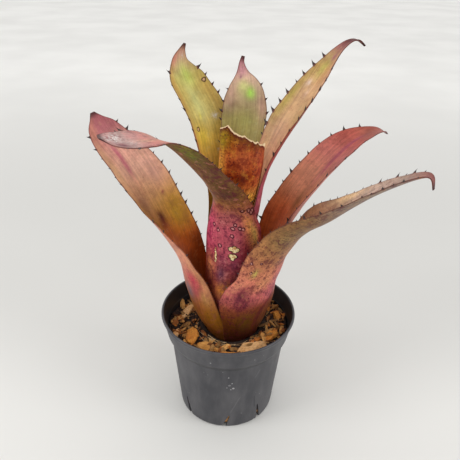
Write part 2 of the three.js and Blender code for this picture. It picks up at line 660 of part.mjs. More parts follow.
const fibres = new THREE.Group();
fibres.name = 'fibres';
FIBRES.forEach((fibre, index) => {
  fibres.add(named(`dry_fibre_${index + 1}`, fibreGeometry(fibre), FIBRE_FINISH()));
});

const model = new THREE.Group();
model.name = 'potted_hohenbergia';
model.add(pot, named('potting_mix', geometryFrom(mix), MIX_FINISH()), chips, fibres, plant);

export default model;
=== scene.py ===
# %% [markdown]
# A hohenbergia is a tank bromeliad: its stiff strap leaves wrap round each other at the foot in an
# upright funnel, and each one then arches away. This one stands in bark mix in a small nursery pot.
# The solids of the object are loaded first. They give every piece its place, and each finished
# piece made here takes the place of the plain solid that it stands for. They could also be finished as
# they are, but their faces are few and large, so new and finer meshes are made in the same places.

# %% Load the solids
import json
import math

import bmesh
import bpy
import numpy as np
from mathutils import Matrix, Vector, noise

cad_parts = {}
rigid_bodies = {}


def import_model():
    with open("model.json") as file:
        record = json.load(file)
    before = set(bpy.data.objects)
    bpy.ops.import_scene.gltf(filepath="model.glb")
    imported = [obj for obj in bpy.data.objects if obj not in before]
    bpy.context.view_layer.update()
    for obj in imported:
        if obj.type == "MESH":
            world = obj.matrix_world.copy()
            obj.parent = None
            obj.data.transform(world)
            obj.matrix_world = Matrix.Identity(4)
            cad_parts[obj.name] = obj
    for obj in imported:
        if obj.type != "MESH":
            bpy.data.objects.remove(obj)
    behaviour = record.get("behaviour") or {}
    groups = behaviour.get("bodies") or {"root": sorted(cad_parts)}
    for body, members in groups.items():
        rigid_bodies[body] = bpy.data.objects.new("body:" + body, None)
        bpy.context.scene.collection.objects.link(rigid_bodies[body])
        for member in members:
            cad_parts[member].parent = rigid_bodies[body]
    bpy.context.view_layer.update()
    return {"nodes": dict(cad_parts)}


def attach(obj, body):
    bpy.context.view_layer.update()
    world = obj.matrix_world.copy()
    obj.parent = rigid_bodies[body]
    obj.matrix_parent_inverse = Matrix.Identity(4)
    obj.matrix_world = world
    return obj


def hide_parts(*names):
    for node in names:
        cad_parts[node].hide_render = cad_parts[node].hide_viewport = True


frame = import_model()
MM = 0.001

# %% [markdown]
# The camera stands where the photographer stood: in front, about 38 cm above the bench, looking
# down at the middle of the plant and turned slightly, as a camera held in the hand is. It could be
# aimed at the plant with a constraint, but three turns in a row also give the slight tilt.

# %% Camera
CAMERA_PLACE = Vector((0, -361, 384)) * MM
CAMERA_DOWN, CAMERA_ROLL, LENS = 29.03, 1.31, 39.13

lens = bpy.data.cameras.new("camera")
lens.lens, lens.sensor_width = LENS, 36
camera = bpy.data.objects.new("camera", lens)
bpy.context.scene.collection.objects.link(camera)
camera.matrix_world = (Matrix.Translation(CAMERA_PLACE)
                       @ Matrix.Rotation(math.radians(90 - CAMERA_DOWN), 4, "X")
                       @ Matrix.Rotation(math.radians(CAMERA_ROLL), 4, "Z"))
bpy.context.scene.camera = camera
print("camera in mm:", tuple(CAMERA_PLACE / MM), "looks down by", CAMERA_DOWN, "degrees")

# %% [markdown]
# A finish and a Geometry Nodes tree are both trees of nodes. They could be wired link by link, but
# a formula is easier to read, so two small classes keep them short to write. Wire wraps one socket,
# so that adding or multiplying wires adds Math nodes, and Nodes adds any other node from its type,
# its settings and what its sockets take.

# %% Writing node trees as expressions
class Wire:
    """One output socket of a node tree, with arithmetic."""

    def __init__(self, nodes, socket):
        self.nodes, self.socket = nodes, socket

    def math(self, operation, *others):
        return self.nodes.add("ShaderNodeMath", {"operation": operation},
                              dict(enumerate((self, *others))))

    def __add__(self, other):
        return self.math("ADD", other)

    def __mul__(self, other):
        return self.math("MULTIPLY", other)

    def __sub__(self, other):
        return self.math("SUBTRACT", other)

    def __rsub__(self, other):
        return self.nodes.add("ShaderNodeMath", {"operation": "SUBTRACT"}, {0: other, 1: self})

    __radd__, __rmul__ = __add__, __mul__

    def step(self, low, high, bottom=0.0, top=1.0):
        """Rises smoothly from bottom to top as this goes from low to high."""
        settings = {"interpolation_type": "SMOOTHSTEP", "clamp": True}
        return self.nodes.add("ShaderNodeMapRange", settings, {
            "Value": self, "From Min": low, "From Max": high, "To Min": bottom, "To Max": top})


class Nodes:
    """A node tree that is filled by expressions."""

    def __init__(self, tree):
        self.tree = tree

    def add(self, kind, settings=None, inputs=None, out=0):
        """Adds a node, makes its settings, then fills its sockets, and gives one output as a wire."""
        node = self.tree.nodes.new(kind)
        for key, value in (settings or {}).items():
            setattr(node, key, value)
        for key, value in (inputs or {}).items():
            self.fill(self.socket(node.inputs, key), value)
        return Wire(self, self.socket(node.outputs, out))

    @staticmethod
    def socket(sockets, key):
        if isinstance(key, int):
            return sockets[key]
        return next((s for s in sockets if s.identifier == key), None) or sockets[key]

    def fill(self, socket, value):
        if isinstance(value, Wire):
            self.tree.links.new(value.socket, socket)
        elif socket.type == "RGBA":
            socket.default_value = (*value, 1.0)
        else:
            socket.default_value = value

    def vector(self, x, y, z):
        return self.add("ShaderNodeCombineXYZ", inputs={"X": x, "Y": y, "Z": z})


trial = Nodes(bpy.data.node_groups.new("trial", "ShaderNodeTree"))
wire = 1 - trial.vector(0.0, 0.0, 0.0) * 2.0
print("writing 1 - mask * 2 made nodes:", [node.bl_idname for node in wire.nodes.tree.nodes])
bpy.data.node_groups.remove(trial.tree)

# %% [markdown]
# A finish is a material on one Principled shader. Its patterns could be painted as pictures, but a
# formula stays sharp from close by and needs no file. They read the object's own coordinates or what
# the mesh stores, so that they stay on the piece from every side.

# %% Finishes
class Finish(Nodes):
    def __init__(self, name, **constants):
        self.material = bpy.data.materials.new(name)
        self.material.use_nodes = True
        super().__init__(self.material.node_tree)
        self.shader = self.tree.nodes["Principled BSDF"]
        self.place = self.add("ShaderNodeTexCoord", out="Object")
        self.set(**constants)

    def set(self, **values):
        for name, value in values.items():
            self.fill(self.shader.inputs[name.replace("_", " ")], value)

    def stored(self, name, out="Fac"):
        return self.add("ShaderNodeAttribute", {"attribute_name": name}, out=out)

    def split(self, wire):
        node = self.add("ShaderNodeSeparateXYZ", inputs={0: wire}).socket.node
        return [Wire(self, socket) for socket in node.outputs]

    def noise(self, scale, detail=2.0, roughness=0.5, at=None):
        return self.add("ShaderNodeTexNoise", inputs={
            "Vector": at or self.place, "Scale": scale, "Detail": detail, "Roughness": roughness},
            out="Fac")

    def cells(self, scale):
        """Distance to the nearest of many scattered points."""
        return self.add("ShaderNodeTexVoronoi", inputs={"Vector": self.place, "Scale": scale},
                        out="Distance")

    def mix(self, factor, a, b):
        return self.add("ShaderNodeMix", {"data_type": "RGBA", "blend_type": "MIX"}, {
            "Factor_Float": factor, "A_Color": a, "B_Color": b}, out="Result_Color")

    def layered(self, colour, *layers):
        """A colour with layers of paint laid over it in turn, each given as its mask and its paint."""
        for mask, code in layers:
            colour = self.mix(mask, colour, paint(code))
        return colour

    def shaded(self, colour, amount):
        """A colour times a number."""
        return self.add("ShaderNodeVectorMath", {"operation": "SCALE"},
                        {"Vector": colour, "Scale": amount})

    def bump(self, height_in_mm):
        self.set(Normal=self.add("ShaderNodeBump", inputs={
            "Height": height_in_mm, "Distance": MM, "Strength": 1.0}))


def paint(code):
    """Linear colour of a paint given as 0xRRGGBB."""
    parts = [(code >> shift & 255) / 255 for shift in (16, 8, 0)]
    return tuple(c / 12.92 if c <= 0.04045 else ((c + 0.055) / 1.055) ** 2.4 for c in parts)


print("middle grey paint in linear light:", [round(c, 3) for c in paint(0x808080)])

# %% [markdown]
# What repeats or follows a rule is grown by Geometry Nodes. Loops in Python could place it too, but
# a tree is quick, and its sizes are named inputs, so the same tree makes different pieces. A Growth
# is such a tree. Every tree ends by turning instances into real mesh with its finish on it, and the
# result is then frozen into a plain mesh.

# %% Geometry Nodes trees
SOCKET_KINDS = {int: "NodeSocketInt", float: "NodeSocketFloat", Finish: "NodeSocketMaterial",
                bpy.types.Object: "NodeSocketObject"}


class Growth(Nodes):
    def __init__(self, name, **sizes):
        super().__init__(bpy.data.node_groups.new(name, "GeometryNodeTree"))
        self.ids, sockets = {}, self.tree.interface
        sockets.new_socket("Geometry", in_out="INPUT", socket_type="NodeSocketGeometry")
        sockets.new_socket("Geometry", in_out="OUTPUT", socket_type="NodeSocketGeometry")
        for size, kind in {**sizes, "finish": Finish}.items():
            made = sockets.new_socket(size, in_out="INPUT", socket_type=SOCKET_KINDS[kind])
            self.ids[size] = made.identifier
        self.entry = self.tree.nodes.new("NodeGroupInput")
        self.exit = self.tree.nodes.new("NodeGroupOutput")

    def __getitem__(self, size):
        return Wire(self, self.entry.outputs[size])

    def named(self, name, kind="FLOAT"):
        return self.add("GeometryNodeInputNamedAttribute", {"data_type": kind}, {"Name": name},
                        out="Attribute")

    def random(self, low, high, seed):
        return self.add("FunctionNodeRandomValue", {"data_type": "FLOAT"}, {
            "Min_001": low, "Max_001": high, "Seed": seed}, out="Value_001")

    def end(self, geometry):
        real = self.add("GeometryNodeRealizeInstances", inputs={0: geometry})
        dressed = self.add("GeometryNodeSetMaterial", inputs={0: real, "Material": self["finish"]})
        self.fill(self.exit.inputs[0], dressed)

    def grow(self, start, finish, **sizes):
        """The plain mesh that this tree makes from a starting mesh."""
        seedling = bpy.data.objects.new(self.tree.name, start)
        bpy.context.scene.collection.objects.link(seedling)
        modifier = seedling.modifiers.new("growth", "NODES")
        modifier.node_group = self.tree
        for size, value in {**sizes, "finish": finish.material}.items():
            modifier[self.ids[size]] = value
        return frozen(seedling)


def frozen(thing):
    """The plain mesh that an object's modifiers make, with the object itself removed."""
    seen = thing.evaluated_get(bpy.context.evaluated_depsgraph_get())
    mesh = bpy.data.meshes.new_from_object(seen)
    bpy.data.objects.remove(thing)
    return mesh


print("kinds of size that a tree takes:", [kind.__name__ for kind in SOCKET_KINDS])

# %% [markdown]
# Every finished piece is a mesh whose points are already in place. Its object could also be moved
# and turned into place, but patterns that read object coordinates are simpler when it stays at the
# origin. One helper gives a piece its finish and its smooth shading, and hides the solids that it
# stands for.

# %% Making a piece
def mesh_from(name, points, faces, **stored):
    """A mesh from points in millimetres, with values stored on its points."""
    mesh = bpy.data.meshes.new(name)
    mesh.from_pydata(np.asarray(points, dtype=float) * MM, [], [tuple(map(int, f)) for f in faces])
    for key, values in stored.items():
        store(mesh, key, values)
    mesh.update()
    return mesh


def ring_faces(rings, around):
    """Four-sided faces between each ring of points and the next, all the way round."""
    return [(j * around + k, j * around + (k + 1) % around, (j + 1) * around + (k + 1) % around,
             (j + 1) * around + k) for j in range(rings - 1) for k in range(around)]


def line_mesh(name, points):
    """Points in millimetres, joined in a line."""
    mesh = bpy.data.meshes.new(name)
    mesh.from_pydata(np.array(points) * MM, [(k, k + 1) for k in range(len(points) - 1)], [])
    return mesh


def vectors_of(values, field):
    """The vector that each of a mesh's values has under a name, as rows."""
    vectors = np.empty(len(values) * 3, dtype=np.float32)
    values.foreach_get(field, vectors)
    return vectors.reshape(-1, 3)


def points_of(mesh):
    return vectors_of(mesh.vertices, "co") / MM


def store(mesh, key, values):
    values = np.asarray(values, dtype=np.float32)
    kind, field = (("FLOAT", "value") if values.ndim == 1 else ("FLOAT_COLOR", "color"))
    if values.ndim == 2:
        values = np.hstack([values, np.ones((len(values), 1), np.float32)])
    layer = mesh.attributes.get(key) or mesh.attributes.new(key, kind, "POINT")
    layer.data.foreach_set(field, values.ravel())


def piece(name, mesh, finish, slot, *solids, sharp=180):
    thing = bpy.data.objects.new(name, mesh)
    bpy.context.scene.collection.objects.link(thing)
    if finish:
        mesh.materials.clear()
        mesh.materials.append(finish.material)
    edit = bmesh.new()
    edit.from_mesh(mesh)
    for face in edit.faces:
        face.smooth = True
    for edge in edit.edges:
        edge.smooth = not edge.is_manifold or edge.calc_face_angle(0) < math.radians(sharp)
    edit.to_mesh(mesh)
    edit.free()
    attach(thing, "root")
    if solids:
        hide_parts(*solids)
    print(name, "faces:", len(mesh.polygons))


print("pieces still to be made for the solids:", len(frame["nodes"]))

# %% [markdown]
# The pot is thin dark plastic, moulded in one: a tapered body, a soft step under a wider collar, and
# a rolled lip. It could be built from cylinders, but every part of it is round about the upright
# axis, so one profile turned round gives all of it with clean edges. The profile is a line of points
# of radius and height, with its corners rounded as they are in a mould.

# %% Pot profile
POT_HEIGHT, RIM, FOOT, WALL, FLOOR = 103.5, 60, 44.4, 1.3, 1.8
BODY_TOP = (51.5, 76.5)
COLLAR_FOOT = (55.7, 86)


def body_radius(height):
    return FOOT + (BODY_TOP[0] - FOOT) * height / BODY_TOP[1]


def collar_radius(height):
    share = (height - COLLAR_FOOT[1]) / (POT_HEIGHT - 4 - COLLAR_FOOT[1])
    return COLLAR_FOOT[0] + (RIM - 1.6 - COLLAR_FOOT[0]) * share


POT_PROFILE = [
    (0, 0), (FOOT - 1.7, 0), (FOOT - 0.4, 0.5), (body_radius(2), 2), (body_radius(40), 40), BODY_TOP,
    (BODY_TOP[0] + 0.9, 79), (COLLAR_FOOT[0] - 1.6, 81.6), (COLLAR_FOOT[0] - 0.4, 83.8), COLLAR_FOOT,
    (collar_radius(POT_HEIGHT - 4), POT_HEIGHT - 4), (RIM - 0.5, POT_HEIGHT - 2.9),
    (RIM, POT_HEIGHT - 1.7), (RIM - 0.3, POT_HEIGHT - 0.6), (RIM - 1.1, POT_HEIGHT),
    (RIM - 2.2, POT_HEIGHT - 0.5), (collar_radius(POT_HEIGHT - 5) - WALL, POT_HEIGHT - 5),
    (COLLAR_FOOT[0] - WALL, 86), (COLLAR_FOOT[0] - WALL - 0.7, 83.4), (BODY_TOP[0] - WALL + 0.4, 79.6),
    (BODY_TOP[0] - WALL, 76.5), (body_radius(40) - WALL, 40), (body_radius(4) - WALL, 4),
    (FOOT - WALL - 2, FLOOR), (0, FLOOR),
]


def worn_round(profile, reach=2.5, steps=4):
    """The same profile with its corners, other than the ends, rounded by a short curve."""
    points = [np.array(p, dtype=float) for p in profile]
    made = [points[0]]
    for before, corner, after in zip(points, points[1:], points[2:]):
        back, on = before - corner, after - corner
        start = corner + back * min(0.35, reach / np.linalg.norm(back))
        end = corner + on * min(0.35, reach / np.linalg.norm(on))
        made += [(1 - t) ** 2 * start + 2 * t * (1 - t) * corner + t * t * end
                 for t in np.linspace(0, 1, steps)]
    return [*made, points[-1]]


def profile_line(name, profile):
    """A profile of radius and height as a line of points, with its heights along -Y for the sweep."""
    return line_mesh(name, [(radius, -height, 0) for radius, height in profile])


pot_line = profile_line("pot_profile", worn_round(POT_PROFILE))
print("points in the pot's profile:", len(pot_line.vertices))

# %% [markdown]
# Turning could be done with a Screw modifier. A Geometry Nodes tree is used here instead, because
# the stem is turned by the same tree later, and because the pot's tree also cuts its slits. It sweeps
# the profile round a circle that guides it.

# %% Turning a profile
GUIDE = 1.0             # radius of the circle that guides the sweep; the profile is set in by as much


def turning(growth, turns):
    """A profile swept once round the upright axis, with its poles closed and its faces outward."""
    circle = growth.add("GeometryNodeCurvePrimitiveCircle", inputs={
        "Resolution": turns, "Radius": GUIDE})
    guide = growth.add("GeometryNodeSetCurveNormal", {"mode": "Z_UP"}, {0: circle})
    inward = growth.add("GeometryNodeTransform", inputs={
        0: growth["Geometry"], "Translation": (-GUIDE, 0, 0)})
    profile = growth.add("GeometryNodeMeshToCurve", inputs={0: inward})
    swept = growth.add("GeometryNodeCurveToMesh", inputs={0: guide, 1: profile})
    closed = growth.add("GeometryNodeMergeByDistance", inputs={0: swept, "Distance": 1e-6})
    return growth.add("GeometryNodeFlipFaces", inputs={0: closed})


turned = Growth("turned", turns=int)
turned.end(turning(turned, turned["turns"]))
print("nodes in the turning tree:", len(turned.tree.nodes))

# %% [markdown]
# Eight drain slits are cut in at the foot of the pot. They are wider at the bottom, and they lean by
# turns: a short one to the right, a long one to the left. They could be modelled into the wall by
# hand, but they repeat, so a wedge is placed on the points of a circle and subtracted from the wall.

# %% Cutting the slits
slitted = Growth("turned_and_slitted", turns=int, slits=int, slit=bpy.types.Object, foot=float,
                 first=float, lean_right=float, lean_left=float, long_slit=float)
body = turning(slitted, slitted["turns"])
ring = slitted.add("GeometryNodeMeshCircle", inputs={
    "Vertices": slitted["slits"], "Radius": slitted["foot"]})
ring = slitted.add("GeometryNodeTransform", inputs={
    0: ring, "Rotation": slitted.vector(0.0, 0.0, slitted["first"])})
place = slitted.add("GeometryNodeInputPosition")
facing = slitted.add("FunctionNodeAlignRotationToVector", {"axis": "X"}, {"Vector": place})
odd = slitted.add("GeometryNodeInputIndex").math("MODULO", 2.0)
lean = odd * (slitted["lean_left"] + slitted["lean_right"]) - slitted["lean_right"]
leaning = slitted.add("FunctionNodeEulerToRotation", inputs={0: slitted.vector(lean, 0.0, 0.0)})
facing = slitted.add("FunctionNodeRotateRotation", {"rotation_space": "LOCAL"}, {0: facing, 1: leaning})
wedge = slitted.add("GeometryNodeObjectInfo", inputs={0: slitted["slit"]}, out="Geometry")
wedges = slitted.add("GeometryNodeInstanceOnPoints", inputs={
    0: ring, "Instance": wedge, "Rotation": facing,
    "Scale": slitted.vector(1.0, 1.0, odd * (slitted["long_slit"] - 1) + 1)})
wedges = slitted.add("GeometryNodeRealizeInstances", inputs={0: wedges})
slitted.end(slitted.add("GeometryNodeMeshBoolean", {"operation": "DIFFERENCE", "solver": "EXACT"}, {
    0: body, 1: wedges}))

SLITS, SLIT_WIDTH, SLIT_TOP, SLIT_HEIGHT, SLIT_DEPTH = 8, 4.6, 1.2, 16.5, 12.3
BELOW_POT = 3           # how far the wedge stands out under the pot, for a clean cut
LEAN_RIGHT, LEAN_LEFT, LONG_SLIT = 18, 9, 1.3
FIRST_SLIT = -92.5      # degrees round from +X


def slit_wedge():
    """One slit's cutter: an upright wedge that points out along X."""
    outline = [(-SLIT_WIDTH / 2, -BELOW_POT), (SLIT_WIDTH / 2, -BELOW_POT),
               (SLIT_TOP / 2, SLIT_HEIGHT), (-SLIT_TOP / 2, SLIT_HEIGHT)]
    points = [(x, y, z) for x in (-SLIT_DEPTH / 2, SLIT_DEPTH / 2) for y, z in outline]
    faces = [(3, 2, 1, 0), (4, 5, 6, 7), (0, 1, 5, 4), (1, 2, 6, 5), (2, 3, 7, 6), (3, 0, 4, 7)]
    return bpy.data.objects.new("slit_wedge", mesh_from("slit_wedge", points, faces))


wedge = slit_wedge()
bpy.context.scene.collection.objects.link(wedge)
print("faces of the slit's wedge:", len(wedge.data.polygons))

# %% [markdown]
# The plastic is dark grey and slightly glossy, and it has been handled: dust and dried water leave
# it paler in soft upright smears, there are fine scratches, a few pale splashes, and faint mould
# lines that run up from the slits. Its inside is painted nearly black as shade, with a paler band of
# painted light just above the mix, and a dark band of painted shade lies under the collar step. One
# flat grey would look like a new pot, so noise lays the wear on, and the single marks are placed by
# the angle round the pot.

# %% Pot plastic
def mould_line(angle, height, start, lean, half_width, half_length):
    """A soft leaning line on the wall as a mask: start in degrees and mm, sizes in mm."""
    middle, level = start
    rise = height * (1 / MM) - level
    sideways = (angle - math.radians(middle)) * FOOT - rise * lean
    return (sideways.math("ABSOLUTE").step(half_width * 0.3, half_width, 1.0, 0.0)
            * rise.math("ABSOLUTE").step(half_length * 0.6, half_length, 1.0, 0.0))


def speck(finish, angle, height, at, radius):
    """A round speck on the wall as a mask: its angle in degrees, its height and radius in mm."""
    away = finish.vector((angle - math.radians(at[0])) * FOOT, height * (1 / MM) - at[1], 0.0)
    away = finish.add("ShaderNodeVectorMath", {"operation": "LENGTH"}, {0: away}, out="Value")
    return away.step(radius * 0.5, radius, 1.0, 0.0)


plastic = Finish("pot_plastic", IOR=1.49)
x, y, z = plastic.split(plastic.place)
angle = y.math("ARCTAN2", x)
smears = plastic.noise(2.6, 4, 0.6, at=plastic.vector(x * 30, y * 30, z * 9))
dust = plastic.noise(38, 5, 0.62)
grit = plastic.noise(900, 2, 0.6)
scratches = plastic.noise(60, 3, 0.7, at=plastic.vector(x * 2, y * 2, z * 9)).step(0.66, 0.72)
splashes = plastic.cells(260).step(0.10, 0.16, 1.0, 0.0) * plastic.noise(55).step(0.62, 0.68)
mould = (mould_line(angle, z, (-80, 31), 0.36, 0.9, 13)
         - mould_line(angle, z, (-57, 28), -0.1, 0.8, 9) * 2
         + mould_line(angle, z, (-58, 66), 0.45, 0.8, 5))
specks = None
for place, radius in (((-87, 58), 1.3), ((-84.5, 60.5), 0.8), ((-83, 54), 1.2), ((-85.5, 52.5), 0.7),
                      ((-89.5, 55), 0.6), ((-88, 68), 0.7), ((-104, 88), 0.6), ((-66, 90), 0.5)):
    mark = speck(plastic, angle, z, place, radius)
    specks = mark if specks is None else specks + mark
worn = smears.step(0.3, 0.75) * 0.34 + dust.step(0.35, 0.8) * 0.22 + mould * 0.25
# Places on the wall are in metres here, as object coordinates are. The collar's inside is a cone.
# A dark band painted under the collar step stands for the shade that the step casts.
collar_step_shade = z.step(0.0755, 0.078) * z.step(0.0795, 0.083, 1.0, 0.0)
from_wall = (x * x + y * y).math("SQRT") - (z * 0.2 + 0.0378)
# The inside wall above the mix is painted nearly black as shade.
inside = from_wall.step(-0.0006, -0.0001, 1.0, 0.0) * z.step(0.0815, 0.0835)
# A paler band painted on the inside wall just above the mix stands for the light that falls there.
lit_inner_band = inside * z.step(0.0885, 0.089) * z.step(0.0895, 0.0903, 1.0, 0.0)
colour = plastic.layered(
    paint(0x303036), (worn, 0x6C6A6C), (collar_step_shade * 0.55, 0x1C1C1F), (splashes * 0.45, 0xA9A9A6),
    (specks * (dust.step(0.25, 0.5) * 0.7), 0xC4C2C4), (scratches * 0.12, 0x7A7A7C),
    (inside * 0.85, 0x0C0B0E), (lit_inner_band * 0.5, 0x4C5054))
plastic.set(Base_Color=colour, Roughness=dust.step(0.3, 0.8, 0.42, 0.62))
plastic.bump(grit * 0.01 + dust * 0.05 + scratches * 0.01)

pot_mesh = slitted.grow(pot_line, plastic, turns=192, slits=SLITS, slit=wedge, foot=FOOT * MM,
                        first=math.radians(FIRST_SLIT), lean_right=math.radians(LEAN_RIGHT),
                        lean_left=math.radians(LEAN_LEFT), long_slit=LONG_SLIT)
bpy.data.objects.remove(wedge)
piece("pot_shell", pot_mesh, plastic, "pot", "pot", sharp=40)

# %% [markdown]
# A leaf is a stiff strap that is wide and clasping at the foot and free above it. It could be
# sculpted from a plane, but leaves that wrap each other need exact room, so each is set out as
# stations from foot to tip. A station has its direction from the plant's axis, height, distance,
# facing, half width, cupping and roll, in millimetres and degrees. A smooth curve runs through them.
# The sheaths of later leaves lie one layer further in.

# %% Stations of the leaves
AXIS = (3.5, 3.0)       # where the plant stands in the pot
LAYER = 1.7             # from one sheath to the next one inside it
THICK, MARGIN_THICK = 1.0, 0.72
FUNNEL = [              # height, radius of the outermost sheath
    (66, 20), (76, 23), (86, 26), (96, 28), (107, 28.6), (119, 28.2), (131, 27.6), (143, 27),
    (157, 26.6), (170, 26.4), (185, 25.6), (200, 23), (208, 22.3), (220, 23.4), (232, 26),
    (246, 28.4), (262, 29), (340, 29),
]
